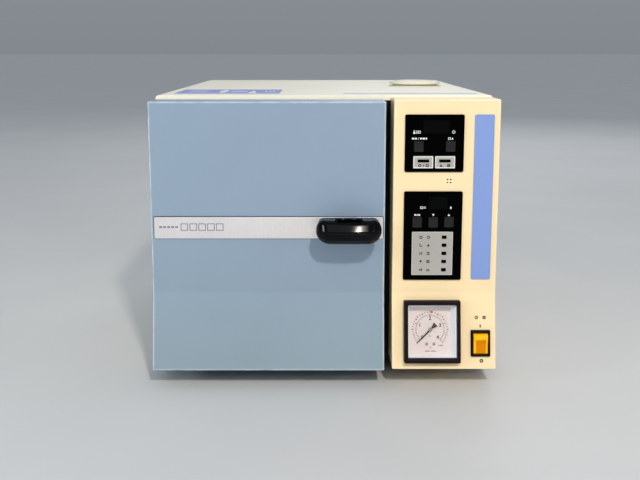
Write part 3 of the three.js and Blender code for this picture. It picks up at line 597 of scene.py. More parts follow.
def make_sky():
    """A pale sky that meets the floor's tone at the horizon and is brighter overhead."""
    world = bpy.data.worlds.new("world")
    bpy.context.scene.world = world
    world.use_nodes = True
    tree = world.node_tree
    background = tree.nodes["Background"]
    direction = tree.nodes.new("ShaderNodeTexCoord").outputs["Generated"]
    split = tree.nodes.new("ShaderNodeSeparateXYZ")
    ramp = tree.nodes.new("ShaderNodeValToRGB")
    horizon, overhead = ramp.color_ramp.elements
    horizon.position, horizon.color = 0.0, (0.226, 0.249, 0.272, 1)
    overhead.position, overhead.color = 0.9, (0.437, 0.484, 0.53, 1)
    tree.links.new(direction, split.inputs["Vector"])
    tree.links.new(split.outputs["Z"], ramp.inputs["Fac"])
    tree.links.new(ramp.outputs["Color"], background.inputs["Color"])
    background.inputs["Strength"].default_value = 1.0


def make_floor():
    mesh = bpy.data.meshes.new("floor")
    reach = 60
    mesh.from_pydata([(-reach, -reach, 0), (reach, -reach, 0), (reach, reach, 0),
                      (-reach, reach, 0)], [], [(0, 1, 2, 3)])
    m = Nodes("floor")
    tone = m.mix(m.remap(m.noise(3), 0.3, 0.7), (0.60, 0.60, 0.60), (0.64, 0.64, 0.635))
    mesh.materials.append(m.finish(tone, m.remap(m.noise(40), 0.3, 0.7, 0.6, 0.7)))
    new_object("floor", mesh)


make_camera()
make_floor()
make_sky()
area_light("key", (0.47, -2.35, 1.75), (0, -0.2, 0.18), (0.14, 0.14), 39.5, (1.0, 0.90, 0.80))
area_light("fill", (-0.3, -2.4, 1.7), (0, -0.2, 0.15), (2.4, 1.6), 11.7, (0.83, 0.94, 1.0))
area_light("left", (-1.75, -1.15, 0.75), (0.02, -0.3, 0.19), (0.45, 0.3), 8.3, (0.85, 0.94, 1.0))
area_light("right", (1.65, -1.35, 0.65), (0.02, -0.3, 0.19), (0.4, 0.3), 4, (0.83, 0.93, 1.0))
area_light("behind", (0.7, 2.6, 2.0), (0, 0.2, 0.15), (1.6, 1.6), 18)
bpy.context.scene.view_settings.view_transform = "Standard"


# ------------------------------------------------------------------ printed marks

INK = 0.08  # thickness of ink on a surface


class Marks:
    """Flat generic marks printed on a face; x and z are local to the face."""

    def __init__(self, face, surface):
        self.face = face
        self.front = surface - INK
        self.rear = self.front + INK * 0.9
        self.meshes = []

    def shape(self, outline):
        self.meshes.append(prism("Y", outline, self.front, self.rear, self.face))

    def bar(self, x, z, width, height, lean=0.0):
        w, h = width / 2, height / 2
        self.shape([(x - w - lean, z - h), (x + w - lean, z - h),
                    (x + w + lean, z + h), (x - w + lean, z + h)])

    def bars(self, x, z, widths, height, gap):
        """A short row of plain bars, centred on x."""
        start = x - (sum(widths) + gap * (len(widths) - 1)) / 2
        for width in widths:
            self.bar(start + width / 2, z, width, height)
            start += width + gap

    def triangle(self, x, z, size, direction=1):
        h = size / 2
        self.shape([(x - h, z - h * direction * 0.8), (x + h, z - h * direction * 0.8),
                    (x, z + h * direction)])

    def disc(self, x, z, radius, count=20):
        self.shape(ellipse(x, z, radius, radius, count))

    def arc(self, x, z, radius, width, start=0, end=360, count=28):
        """A band of a circle; a full turn makes a ring."""
        full = abs(end - start) >= 360
        inner, outer = radius - width / 2, radius + width / 2
        corners = ((inner, self.front), (outer, self.front), (outer, self.rear),
                   (inner, self.rear))
        rings = []
        for i in range(count if full else count + 1):
            angle = math.radians(start + (end - start) * i / count)
            rings.append([self.face @ Vector((x + r * math.cos(angle), y, z + r * math.sin(angle)))
                          for r, y in corners])
        self.meshes.append(lofted(rings, loop=full))

    def square(self, x, z, size, width):
        """The outline of a square."""
        half = size / 2
        for sign in (-1, 1):
            self.bar(x, z + sign * (half - width / 2), size, width)
            self.bar(x + sign * (half - width / 2), z, width, size - 2 * width)

    def number(self, text, x, z, height):
        curve = bpy.data.curves.new("number", "FONT")
        curve.body = text
        curve.size = height / 0.7
        curve.align_x = curve.align_y = "CENTER"
        curve.extrude = INK * 0.45
        curve.offset = height * 0.045
        curve.resolution_u = 3
        mesh = evaluated(new_object("number", curve))
        mesh.transform(Matrix.Scale(MM, 4) @ self.face
                       @ Matrix.Translation((x, self.front + INK * 0.45, z))
                       @ Matrix.Rotation(math.pi / 2, 4, "X"))
        self.meshes.append(mesh)

    def print(self, name, material, slot, body="cabinet"):
        add(name, joined(self.meshes), material, body, weighted=False)


# ------------------------------------------------------------------ cabinet


def arch(width, inner_radius):
    """The wrap seen from the front, as a band of a given width."""
    left, right, bottom, top = COVER_LO.x, COVER_HI.x, COVER_LO.z, COVER_HI.z
    return filleted([
        (left, bottom), (left, top, 4), (right, top, 4), (right, bottom),
        (right - width, bottom), (right - width, top - width, inner_radius),
        (left + width, top - width, inner_radius), (left + width, bottom)])


def make_cover():
    """The wrap, with louvres near the rear and a thin lip over the front frame's joint."""
    sheet, lip = arch(1.5, 2.5), FRONT_PLANE - 0.24
    louvres = []
    for bottom in range(70, 147, 11):
        outline = rectangle(FRONT_PLANE + 360, FRONT_PLANE + 450, bottom, bottom + 3.5, 1.7)
        louvres.append(prism("X", outline, COVER_LO.x - 5, COVER_HI.x + 5))
    cap = middle("filler_cap")
    neck = lathe([(0, 330), (32, 330), (32, 350), (0, 350)], (cap.x, cap.y, 0), "Z", 64, 0)
    front = union(prism("Y", arch(6, 1), lip, FRONT_PLANE - 0.02),
                  prism("Y", sheet, lip, FRONT_PLANE + 2))
    mesh = union(cut(prism("Y", sheet, FRONT_PLANE, COVER_HI.y), neck, *louvres), front)
    add("cabinet_wrap", bevelled(mesh, 0.3), "cabinet", "cabinet",
        "cabinet_cover")


def make_filler():
    """The crowned cap with a raised middle, and the ring that it sits over."""
    low, high = box("filler_cap")
    centre = middle("filler_cap")
    centre.z = 0
    radius = (high.x - low.x) / 2
    under, top, spigot = low.z + 9, high.z, 25.8
    shape = {"axis": "Z", "segments": 128, "steps": 4}
    add_turned("filler_cap_moulding", [
        (0, under - 1.5), (spigot - 3, under - 1.5, 0.5), (spigot - 3, low.z, 0.6),
        (spigot, low.z, 0.6), (spigot, under, 0.3), (radius * 0.88, under, 0.3),
        (radius * 0.88, under + 1.7, 0.4), (radius, under + 1.7, 0.6), (radius, under + 4.4, 1.5),
        (radius * 0.86, under + 5.5, 1.5), (radius * 0.80, under + 5.5, 0.4),
        (radius * 0.78, under + 6.4, 0.8), (radius * 0.5, top - 0.3, 8), (0, top),
    ], centre, "cap", "cap", "cabinet_paint", "filler_cap", **shape)
    inner, outer, base = 30.4, radius + 1.6, COVER_HI.z + 0.1
    add_turned("filler_collar", [
        (inner, base), (outer, base, 0.1), (outer - 0.9, base + 1.4, 0.8),
        (inner + 0.5, base + 1.4, 0.4),
    ], centre, "cap", "cabinet", "cabinet_paint", **shape)


def make_top_labels():
    """A blue instruction film on the left, with plain marks, and a narrow blue line."""
    flat = Matrix.Translation((0, 0, COVER_HI.z)) @ Matrix.Rotation(-math.pi / 2, 4, "X")
    for name, left, right, near, far in (("top_label", -185, -55, 37, 142),
                                         ("top_blue_line", 24, 188, 36, 46)):
        outline = rectangle(left, right, FRONT_PLANE + near, FRONT_PLANE + far, 2)
        film = bevelled(prism("Y", outline, -0.2, -0.02, flat), 0.05, 1)
        add(name, film, "label_blue", "cabinet")
    marks = Marks(flat, -0.2)
    mid = FRONT_PLANE + 90
    marks.shape(ellipse(-128, mid, 5, 34, 32))
    for x, away, width, length in ((-109, 0, 20, 12), (-74, 0, 3, 14), (-69, 0, 3, 14),
                                   (-64, 0, 3, 14), (-160, 12, 24, 5), (-160, -12, 24, 5)):
        marks.bar(x, mid + away, width, length)
    marks.shape([(-96, mid - 40), (-84, mid - 40), (-90, mid + 14)])
    marks.print("top_label_marks", "white_ink", "dial_white")


def make_feet():
    for name in ("foot_front_left", "foot_front_right", "foot_rear_left", "foot_rear_right"):
        low, high = box(name)
        centre = middle(name)
        radius = (high.x - low.x) / 2
        add_turned(name + "_rubber", [
            (0, 3), (4.5, 3, 0.3), (4.5, low.z, 0.5), (radius - 1.5, low.z, 1.2),
            (radius, 2, 0.8), (radius - 2, high.z, 0.5), (0, high.z),
        ], (centre.x, centre.y, 0), "rubber", "cabinet", "black_rubber", name, axis="Z",
            segments=64)


def screw(centre, quarters, turn, radius=3.2, height=1.2, face=IDENTITY):
    """A cross-head screw. Its head points forward, turned by quarters about the vertical."""
    head = lathe([(0, 0), (radius, 0, 0.1), (radius * 0.95, -height * 0.6, 0.5),
                  (radius * 0.6, -height, 0.6), (0, -height)], (0, 0, 0), segments=32)
    arms = [block((-radius * 0.55, -height * 1.5, -radius * 0.11),
                  (radius * 0.55, -height * 0.4, radius * 0.11), Matrix.Rotation(angle, 4, "Y"))
            for angle in (turn, turn + math.pi / 2)]
    return placed(cut(head, *arms), face @ Matrix.Translation(centre)
                  @ Matrix.Rotation(quarters * math.pi / 2, 4, "Z"))


def make_case_screws():
    """Screws along both sides and round the rear panel, each turned differently."""
    rear, height = box("rear_panel")[1].y, 28
    heads = [screw((side * COVER_HI.x, FRONT_PLANE + depth, height), side, 0.4 + j + k)
             for k, side in enumerate((-1, 1)) for j, depth in enumerate((40, 250, 470))]
    heads += [screw((x, rear, z), 2, 0.7 * i + j)
              for i, x in enumerate((-185, -62, 62, 185)) for j, z in enumerate((30, 328))]
    heads += [screw((x, rear, z), 2, 1.1 * j + k)
              for j, z in enumerate((120, 235)) for k, x in enumerate((-188, 188))]
    add("case_screws", joined(heads), "steel", "cabinet", weighted=False)


# ------------------------------------------------------------------ pressure system


def make_turned_steel():
    """The vessel, its lid and gasket, turned finely from the CAD's sizes."""
    low, high = box("chamber_vessel")
    centre = middle("chamber_vessel")
    centre.y = FRONT_PLANE
    inner, outer, flange = 100, 103, (high.x - low.x) / 2
    front, rear, length = -2, 8, 390

    def dished(radius, depth):
        return [(radius * math.cos(a), length + depth * math.sin(a))
                for a in (math.pi / 2 * i / 16 for i in range(17))]

    vessel = dished(inner, 22)[::-1] + [(inner, front, 2), (flange, front, 0.8),
                                        (flange, rear, 0.8), (outer, rear, 1)] + dished(outer, 25)
    edge = flange - 0.5
    lid = [(0, -20), (30, -20, 20), (60, -17.5, 14), (78, -13, 5), (edge, -13, 1),
           (edge, -6.3, 1), (96, -6.3, 1.5), (78, -8.8, 10), (0, -16)]
    gasket = [(102, -6, 0.5), (113, -6, 0.5), (112, -2.3, 1.2), (103, -2.3, 1.2)]
    for name, profile, material, body, slot, node in (
            ("chamber_vessel_spun", vessel, "spun", "cabinet", "stainless", "chamber_vessel"),
            ("pressure_lid_spun", lid, "spun", "door", "stainless", "pressure_lid"),
            ("lid_gasket_ring", gasket, "silicone", "door", "silicone", "lid_gasket")):
        add_turned(name, profile, centre, material, body, slot, node, segments=128)


def make_heater():
    low, high = box("heater_element")
    radius = (high.z - low.z) / 2
    z = (low.z + high.z) / 2
    left, right, front, rear = low.x + radius, high.x - radius, low.y + radius, high.y
    points = [(left, rear, z), (left, front, z), (right, front, z), (right, rear, z)]
    add("heater_hairpin", tube(points, radius * 0.98, 19), "stainless", "cabinet",
        "heater_element", weighted=False)


def make_tray(name, body):
    """A folded tray with rounded corners, a rolled rim and rows of drain slots."""
    low, high = box(name)
    floor, brim = low.z, high.z
    rings = []
    for inset, z, radius in (  # up the outside, over the rim and down the inside
            (3.3, floor, 6), (1.9, floor + 0.6, 7), (1.3, floor + 2, 8), (1.3, brim - 2.2, 8),
            (0.3, brim - 1.8, 9), (0, brim - 0.9, 9), (0.4, brim, 9), (2, brim - 0.1, 8),
            (2.3, brim - 1.2, 8), (2.3, floor + 3, 7), (4.3, floor + 1, 6)):
        outline = rectangle(low.x + inset, high.x - inset, low.y + inset, high.y - inset,
                            radius, 6)
        rings.append([Vector((p.x, p.y, z)) for p in outline])
    rows, columns = 7, 4
    slots = []
    for i in range(rows):
        for j in range(columns):
            x = low.x + (high.x - low.x) * (j + 0.5) / columns
            y = low.y + (high.y - low.y) * (i + 0.5) / rows
            outline = rectangle(x - 11, x + 11, y - 1.8, y + 1.8, 1.7, 4)
            slots.append(prism("Z", outline, floor - 2, floor + 2.5))
    add(name + "_pan", cut(lofted(rings), joined(slots)), "stainless", body, name)


def make_drain():
    centre = middle("drain_fitting")
    low, high = box("drain_fitting")
    centre.y = COVER_HI.y
    radius = (high.x - low.x) / 2
    add_turned("drain_hose_tail", [
        (3.5, -30), (7, -30, 0.5), (7, 0, 0.1), (radius, 0, 0.4), (radius, 7, 0.8),
        (5.5, 7, 0.4), (6.5, 12, 0.3), (5.2, 12.6), (5.2, 15), (6.2, 19, 0.3), (4.9, 19.6),
        (4.8, 25, 0.4), (3.5, 25, 0.3),
    ], centre, "brass", "cabinet", "brass_fitting", "drain_fitting", segments=64)


def soften_inner_parts():
    """Breaks the edges of the CAD nodes that are kept as they are."""
    for width, material, names in (
            # the front frame and base chassis are black: painted shade for the shadowed gap and the
            # under-edge
            (0.4, "frame", "front_frame base_chassis"),
            (0.25, "cabinet", "rear_panel"),
            (0.3, "stainless", "tray_rack"),
            (2, "wool", "insulation_jacket"),
            (0.5, "steel", "saddle_front saddle_rear hinge_pin lid_stud"),
            (0.6, "steel", "hinge_bracket_upper hinge_bracket_lower latch_arm"),
            (0.8, "steel", "transformer latch_keeper"),
            (0.4, "brass", "safety_valve"),
            (0.6, "brass", "fill_valve exhaust_valve"),
            (0.8, "tank", "water_reservoir"),
            (0, "copper", "fill_pipe exhaust_pipe gauge_pipe"),
            (0.2, "circuit", "control_board"),
            (0.5, "black", "power_inlet"),
            (0.3, "glass", "gauge_glass")):
        for name in names.split():
            soften(name, material, width)
    soften("door_crossbeam", "steel", 0.8, 3)


# ------------------------------------------------------------------ creased shells and door


def creased_outline(bottom, top, rear, inset, soft=0.0):
    """The y and z outline of a creased shell's section."""
    z0, z1 = bottom + inset, top - inset
    return filleted([(rear, z0), (face_depth(z0) + inset, z0), (CREASE.y + inset, CREASE.z, soft),
                     (face_depth(z1) + inset, z1), (rear, z1)])


def creased_shell(low, high, wall, edge, tools):
    """A shell with rounded edges, open at the back inside a lip, with tools cut through it."""
    lip, soft = 12, 14  # height of the lip, and length of the crease's bend
    outside = prism("X", creased_outline(low.z, high.z, high.y, 0, soft), low.x, high.x)
    inside = prism("X", creased_outline(low.z, high.z, high.y - wall, wall), low.x + wall,
                   high.x - wall)
    mouth = block((low.x + wall, high.y - 2 * wall, low.z + lip),
                  (high.x - wall, high.y + 5, high.z - lip))
    return cut(bevelled(outside, edge, 4, 45), inside, mouth, *tools)


def opening(outline, face=UPPER):
    """A tool that cuts an outline through a face."""
    reach = 8  # past both sides of any shell
    return prism("Y", outline, -reach, reach, face)


def face_box(node, face=UPPER):
    """A node's lowest and highest corners in a face's own directions."""
    inverse = face.inverted()
    points = [inverse @ (vertex.co / MM) for vertex in nodes[node].data.vertices]
    return [Vector(pick(p[i] for p in points) for i in range(3)) for pick in (min, max)]


SHAFT = middle("handle_shaft")
SHAFT_HOLE = 7.5


def make_door():
    """The door's shell, with a notch for the hinge and a hole for the handle's shaft."""
    notch = block((DOOR_LO.x - 5, FRONT_PLANE - 31, 132), (DOOR_LO.x + 2.2, DOOR_HI.y + 5, 234))
    hole = lathe([(0, -70), (SHAFT_HOLE, -70), (SHAFT_HOLE, -30), (0, -30)],
                 (SHAFT.x, FRONT_PLANE, SHAFT.z), "Y", 48, 0)
    add("door_skin", creased_shell(DOOR_LO, DOOR_HI, 1.2, 1.1, [notch, hole]), "door", "door",
        "door_cover")


def make_trim():
    """A satin strip with fine edges on a dark seal, with a plain ornament at its left. The seal
    shows above and beside the strip but not below it: a painted shadow line for the shade that the
    strip's recess casts along its top.
    """
    low, high = face_box("door_trim_strip")
    hole = ellipse(SHAFT.x, up_face(SHAFT.z), SHAFT_HOLE, SHAFT_HOLE, 40)
    bore = prism("Y", hole, -10, 10, UPPER)
    inset = 0.7
    outline = rectangle(low.x + inset, high.x - inset, low.z, high.z - inset, 1.8)
    add("trim_strip_satin", cut(plate(outline, low.y, low.y + 1.1, 0.35), bore), "trim", "door",
        "door_trim_strip")
    # the dark seal stands out above and beside the strip only: a painted shadow line
    outline = rectangle(low.x, high.x, low.z + 0.3, high.z, 2.2)
    add("trim_strip_shadow_seal", cut(prism("Y", outline, low.y + 0.9, high.y, UPPER), bore), "navy",
        "door")
    marks = Marks(UPPER, low.y)
    mid, left = (low.z + high.z) / 2 + 0.6, low.x + 6.6
    marks.bars(left + 10.8, mid, [3.2] * 5, 2, 1.4)
    for i in range(5):
        marks.square(left + 29 + 10.2 * i, mid, 8.6, 0.9)
    marks.print("trim_ornament", "slate_ink", "black_plastic", "door")


# ------------------------------------------------------------------ handle


def grip_section():
    """Depth forward from the rear plane and height, for the middle of the grip."""
    top, bottom = 13.2, -13.8
    seam = 0.4  # the lower half of the front stands out by a fine step
    return filleted([
        (0, -9, 3), (0, 10, 2), (2.5, top, 2), (27, top, 9), (32.4, 2, 3), (32.5, seam, 0.1),
        (33, -seam, 0.15), (32.2, -7, 7), (23.5, bottom, 9), (5, bottom, 4)], 0, 8)


def rounding(distance, radius):
    """Share of full size at a distance in from a rounded end."""
    return math.sqrt(1 - (max(0.0, radius - distance) / radius) ** 2)


def lozenge(x, y, width, depth, radius, bottom, top):
    """An upright block with rounded corners, centred on x and y."""
    outline = rectangle(x - width / 2, x + width / 2, y - depth / 2, y + depth / 2, radius, 8)
    return prism("Z", outline, bottom, top)


def make_grip():
    low, high = box("handle_grip")
    mid = middle("handle_grip")
    half = (high.x - low.x) / 2
    section = grip_section()
    core = Vector((15, 0))  # the section shrinks towards this point
    reach, count = 17, 18  # length of each rounded end, and stations along it
    ends = [-half + reach * (1 - math.cos(math.pi / 2 * k / count)) for k in range(1, count + 1)]
    straight = [x * (half - reach) / 4 for x in range(-3, 4)]

    def ring(x):
        from_end = half - abs(x)
        crown = 1 - 0.3 * (x / half) ** 2
        points = []
        for p in section:
            offset = p - core
            depth = core.x + offset.x * crown * rounding(from_end, 15 if offset.x > 0 else 9)
            height = offset.y * rounding(from_end, 8.5 if offset.y > 0 else 16)
            points.append(Vector((mid.x + x, high.y - depth, mid.z + height)))
        return points

    body = lofted([ring(x) for x in ends + straight + [-x for x in reversed(ends)]])
    top = high.z - 0.6
    trough = lozenge(mid.x, high.y - 21.5, 32, 10.5, 5, top - 2.6, top + 4)
    socket = lathe([(0, 0), (6.3, 0), (6.3, 17.3), (0, 17.3)],
                   (mid.x, box("handle_shaft")[0].y - 0.5, mid.z), "Y", 48, 0)
    pads = [bevelled(lozenge(mid.x + offset, high.y - 10.6, width, 6.4, 1.3, top - 1, high.z),
                     0.4, 3) for offset, width in ((-11.3, 7.4), (0, 10.4), (11.3, 7.4))]
    add("grip_moulding", union(cut(body, trough, socket), *pads), "grip", "handle",
        "handle_grip", smooth_angle=28)


def make_shaft():
    add_turned("handle_shaft_turned", [
        (0, -77.5), (6, -77.5, 0.5), (6, -61.7, 0.2), (9.5, -61.7, 0.8), (9.5, -50, 0.8),
        (6, -50, 0.3), (6, -20.3, 0.3), (4, -20.3, 0.2), (4, -13.7, 0.5), (0, -13.7),
    ], (SHAFT.x, FRONT_PLANE, SHAFT.z), "black", "handle", "black_plastic", "handle_shaft",
        segments=72)


# ------------------------------------------------------------------ control housing


def make_housing():
    tools = [opening(front_view(*face_box(node, face), inset), face)
             for node, face, inset in (("upper_panel", UPPER, 6), ("lower_panel", UPPER, 6),
                                       ("gauge_dial", LOWER, -2.9), ("switch_bezel", LOWER, 1.6))]
    tools += [opening(ellipse(x, up_face(z), 1.15, 1, 20))  # the sounder's holes
              for x in (141.2, 144.8) for z in (242.5, 246)]
    add("housing_moulding", creased_shell(HOUSING_LO, HOUSING_HI, 2.5, 1.3, tools), "housing",
        "cabinet", "control_housing")


def make_panel(name, keys, left, right, bottom, top):
    """A black panel with key openings and a smoked display window let into it."""
    low, high = face_box(name)
    bottom, top = up_face(bottom), up_face(top)
    recess, gap, radius = 0.35, 0.12, 0.6  # the pocket's depth, the gap in it and its corners
    pocket = prism("Y", rectangle(left, right, bottom, top, radius), low.y - 8, low.y + recess,
                   UPPER)
    holes = [opening(front_view(*face_box(key), -0.4, 0.8)) for key in keys]
    fascia = cut(plate(front_view(low, high, 0, 2.2), low.y, high.y, 0.3), pocket, *holes)
    add(name + "_fascia", fascia, "panel", "cabinet", name)
    outline = rectangle(left + gap, right - gap, bottom + gap, top - gap, radius)
    add(name + "_display", plate(outline, low.y + 0.05, low.y + 0.34, 0.08), "window", "cabinet")
    return Marks(UPPER, low.y)


def make_key(name):
    """A key with rounded corners, a soft top edge and a shallow dish."""
    low, high = face_box(name)
    front = low.y
    mesh = stepped(front_view(low, high, 0, 1.1), [
        (0, high.y), (0, front + 0.7), (0.12, front + 0.3), (0.45, front), (1.0, front + 0.02),
        (1.5, front + 0.22), (2.6, front + 0.36)])
    add(name + "_top", mesh, "key", name + "_cap", name)


def make_label(name, windows, rim_material="white_film", border=1.2):
    """A light plate with a raised pale border and openings over the lamps."""
    low, high = face_box(name)
    margin = Vector((0.25, 0, 0.2))
    low, high = low + margin, high - margin
    surface = low.y + 0.12  # the border stands out by this much
    outline = front_view(low, high, 0, 0.7)
    openings = [opening(rectangle(*window)) for window in windows]
    add(name + "_plate", cut(plate(outline, surface, high.y, 0.1), *openings), "label",
        "cabinet", name)
    rim = cut(plate(outline, low.y, low.y + 0.3, 0.08), opening(front_view(low, high, border, 0.4)))
    add(name + "_rim", rim, rim_material, "cabinet")
    return Marks(UPPER, surface)


def make_upper_panel():
    white = make_panel("upper_panel", ("key_program", "key_start"), 112, 141.6, 299.5, 314.5)
    z = up_face(301)
    white.disc(101.8, z - 0.9, 1.15)  # a plain thermometer
    white.bar(101.8, z + 0.8, 0.9, 2.6)
    for i in (-1, 0, 1):
        white.bar(104.6, z + i * 1.3, 2.4, 0.55)
    white.square(107.6, z, 3.0, 0.6)
    white.arc(146.6, z, 1.5, 0.6)
    z = up_face(293.6)
    white.bars(102.2, z, (2.6, 2.2), 2.0, 0.8)
    white.bar(106.9, z, 0.5, 2.8, 0.7)
    white.bars(112.6, z, (2.0, 2.8, 1.6), 2.0, 0.7)
    white.square(141.9, z, 2.7, 0.55)
    white.triangle(145.2, z, 2.7)
    white.print("upper_panel_marks", "white_ink", "dial_white")
    slot = up_face(266.2), up_face(269.8)
    dark = make_label("mode_label_left", [(106.2, 119.4, *slot)])
    make_label("mode_label_right", [(130.6, 143.8, *slot)])
    z = up_face(262.8)
    dark.arc(108.6, z, 1.3, 0.9)
    dark.bar(113.0, z, 0.9, 2.8, 0.6)
    dark.square(117.2, z, 3.2, 0.85)
    dark.triangle(132.8, z, 3.6)
    dark.square(141.6, z, 3.4, 0.9)
    dark.disc(141.6, z, 0.6)
    dark.print("mode_label_marks", "black_ink", "panel_black")


def make_lower_panel():
    white = make_panel("lower_panel", ("key_mode", "key_down", "key_up"), 120, 141.6, 211.2, 226.5)
    z = up_face(213.5)
    white.square(111.6, z, 2.8, 0.6)
    white.bar(115.2, z + 0.8, 3.0, 0.6)
    white.bar(115.2, z - 0.6, 3.0, 0.6)
    white.triangle(145.4, z + 0.7, 2.2)
    white.triangle(145.4, z - 0.9, 2.2, -1)
    z = up_face(204.9)
    white.bars(106.9, z, (2.2, 1.0, 2.2), 1.8, 0.7)
    white.triangle(125.3, z, 2.8, -1)
    white.triangle(143.4, z, 2.8)
    white.print("lower_panel_marks", "white_ink", "dial_white")
    heights = (178.8, 169.3, 159.6, 149.9, 140)
    dark = make_label("indicator_plate", [(135.6, 141.2, up_face(z - 2.1), up_face(z + 2.1))
                                          for z in heights], "label_rim", 0.7)
    rows = [up_face(z) for z in heights]
    size, line = 3.4, 0.85
    left, right = 111.6, 120.2
    dark.square(left, rows[0], size, line)
    dark.arc(right, rows[0], 1.4, line)
    dark.arc(left, rows[1], 1.4, line, 90, 360)
    dark.triangle(right, rows[1], size)
    for i in (-1, 1):
        dark.bar(left + i, rows[2], 1.0, size, 0.4)
        dark.bar(right, rows[2] + i * 1.1, size, 0.9)
    dark.bar(right, rows[2], 0.9, size)
    dark.triangle(left, rows[3], size, -1)
    dark.square(right, rows[3], size, line)
    dark.disc(right, rows[3], 0.6)
    for i in (-1, 0, 1):
        dark.bar(left + i * 1.4, rows[4], 0.95, size * (0.7 + 0.2 * i))
    dark.arc(right, rows[4] - 0.8, 1.5, line, 0, 180)
    dark.bar(right, rows[4] - 1.2, size, line)
    dark.print("indicator_plate_marks", "black_ink", "panel_black")


def make_stripe():
    low, high = face_box("blue_stripe")
    add("blue_stripe_film", plate(front_view(low, high, 0, 2.4), low.y, high.y, 0.25), "stripe",
        "cabinet", "blue_stripe")


# ------------------------------------------------------------------ gauge


def rounded_frame(low, high, hole, rows):
    """A frame round a hole (left, right, bottom, top) on the lower face. Each row gives the
    share of the way in from the box's edge to the hole's, y and the corner radius."""
    rings = []
    for share, y, radius in rows:
        sides = [outer + (inner - outer) * share
                 for outer, inner in zip((low.x, high.x, low.z, high.z), hole)]
        rings.append(on_face(rectangle(*sides, radius, 4), y, LOWER))
    return lofted(rings, loop=True)


def face_block(left, right, bottom, top, front, rear):
    """A block on the lower face."""
    return block((left, front, bottom), (right, rear, top), LOWER)


def make_gauge_case():
    low, high = face_box("gauge_case", LOWER)
    glass_low, glass_high = face_box("gauge_glass", LOWER)
    gap = 0.3  # round the glass
    left, right = glass_low.x - gap, glass_high.x + gap
    bottom, top = glass_low.z - gap, glass_high.z + gap
    front, rear, wall = low.y, -0.3, 2
    bezel = rounded_frame(low, high, (left, right, bottom, top), [
        (0, rear, 2), (0, front + 2.4, 2), (0.04, front + 1.0, 1.8), (0.16, front + 0.25, 1.6),
        (0.28, front, 1.5), (0.74, front + 0.1, 1.1), (0.86, front + 0.5, 0.9),
        (0.97, front + 2.0, 0.8), (1.0, front + 3.2, 0.7), (1.0, rear, 0.7)])
    shell = cut(face_block(left - wall, right + wall, bottom - wall, top + wall, -1, high.y),
                face_block(left, right, bottom, top, -20, 9))
    add("gauge_bezel", union(bezel, shell), "bezel", "cabinet", "gauge_case",
        smooth_angle=38)


def make_dial():
    """A dial card at the bottom of a white surround with sloping walls. The surround's bluish white
    and its broad right wall are partly its own white and partly a painted reflection, the bright
    band along the window's right edge.
    """
    low, high = face_box("gauge_dial", LOWER)
    front = face_box("gauge_glass", LOWER)[1].y + 0.2
    card = face_block(low.x, high.x, low.z, high.z, low.y, high.y)
    add("gauge_dial_card", card, "dial", "cabinet", "gauge_dial")
    mouth = front_view(low, high, 0.6)
    base = rectangle(low.x + 1.4, high.x - 5.6, low.z + 1.6, high.z - 3.4)
    hollow = lofted([on_face(mouth, front - 1, LOWER), on_face(base, low.y - 0.1, LOWER),
                     on_face(base, low.y + 1, LOWER)])
    solid = face_block(low.x, high.x, low.z, high.z, front, low.y - 0.05)
    # bluish white walls, the right one broad: partly a painted reflection along the window's right
    # edge
    add("gauge_surround", cut(solid, hollow), "wall", "cabinet")
    return low.y


def dial_angle(share):
    """Angle from the right for a share of the scale, which runs 270 degrees clockwise."""
    return math.radians(225 - 270 * share)


def make_dial_marks(surface, centre):
    ink = Marks(LOWER, surface)
    inner, outer = 16.2, 20.0
    x0, z0 = centre

    def spot(angle, radius):
        return centre + radius * Vector((math.cos(angle), math.sin(angle)))

    def tick(share, start, length, width):
        angle = dial_angle(share)
        side = Vector((-math.sin(angle), math.cos(angle))) * width / 2
        base, tip = spot(angle, start), spot(angle, start + length)
        ink.shape([base - side, base + side, tip + side, tip - side])

    for i in range(41):
        length = 2.4 if i % 10 == 0 else 1.9 if i % 5 == 0 else 1.3
        tick(i / 40, inner, length, 0.8 if i % 10 == 0 else 0.5)
    for i in range(31):
        tick(i / 30, outer, 2.0 if i % 5 == 0 else 1.3, 0.8 if i % 5 == 0 else 0.5)
    for radius in (inner, outer):
        ink.arc(x0, z0, radius, 0.18, math.degrees(dial_angle(1)), math.degrees(dial_angle(0)), 72)
    for i in range(5):
        ink.number(str(i), *spot(dial_angle(i / 4), 12.9), 4.0)
    for share in (0.1, 0.3, 0.4, 0.6, 0.7, 0.9):
        ink.disc(*spot(dial_angle(share), 19.4), 0.55, 12)
    ink.triangle(x0, z0 - 7.4, 1.8)
    ink.bar(x0 - 3.4, z0 - 25.3, 5.6, 0.8)
    ink.bar(x0 + 3.8, z0 - 25.3, 5.6, 0.8)
    ink.bars(x0 + 12.4, z0 - 18.6, (1.0, 2.0, 1.6), 0.9, 0.5)
    ink.arc(x0 + 0.6, z0 - 21.2, 1.0, 0.25)
    ink.print("gauge_scale", "black_ink", "panel_black")
    red = Marks(LOWER, surface - INK)
    red.disc(*spot(math.radians(84), 20.6), 1.4)
    red.print("gauge_red_mark", "red_ink", "panel_black")
    heads = [screw((x0 + x, surface, z0 - 17), 0, turn, 1.75, 0.9, LOWER)
             for x, turn in ((-4.0, 0.5), (4.6, 1.5))]
    add("gauge_dial_screws", joined(heads), "bronze", "cabinet", weighted=False)


def dial_centre():
    """The pointer turns about the middle of its hub, the thickest part of it."""
    inverse = LOWER.inverted()
    points = [inverse @ (vertex.co / MM) for vertex in nodes["gauge_pointer"].data.vertices]
    rear = max(p.y for p in points)
    hub = [p for p in points if p.y > rear - 0.1]
    return Vector((sum(p.x for p in hub), sum(p.z for p in hub))) / len(hub)


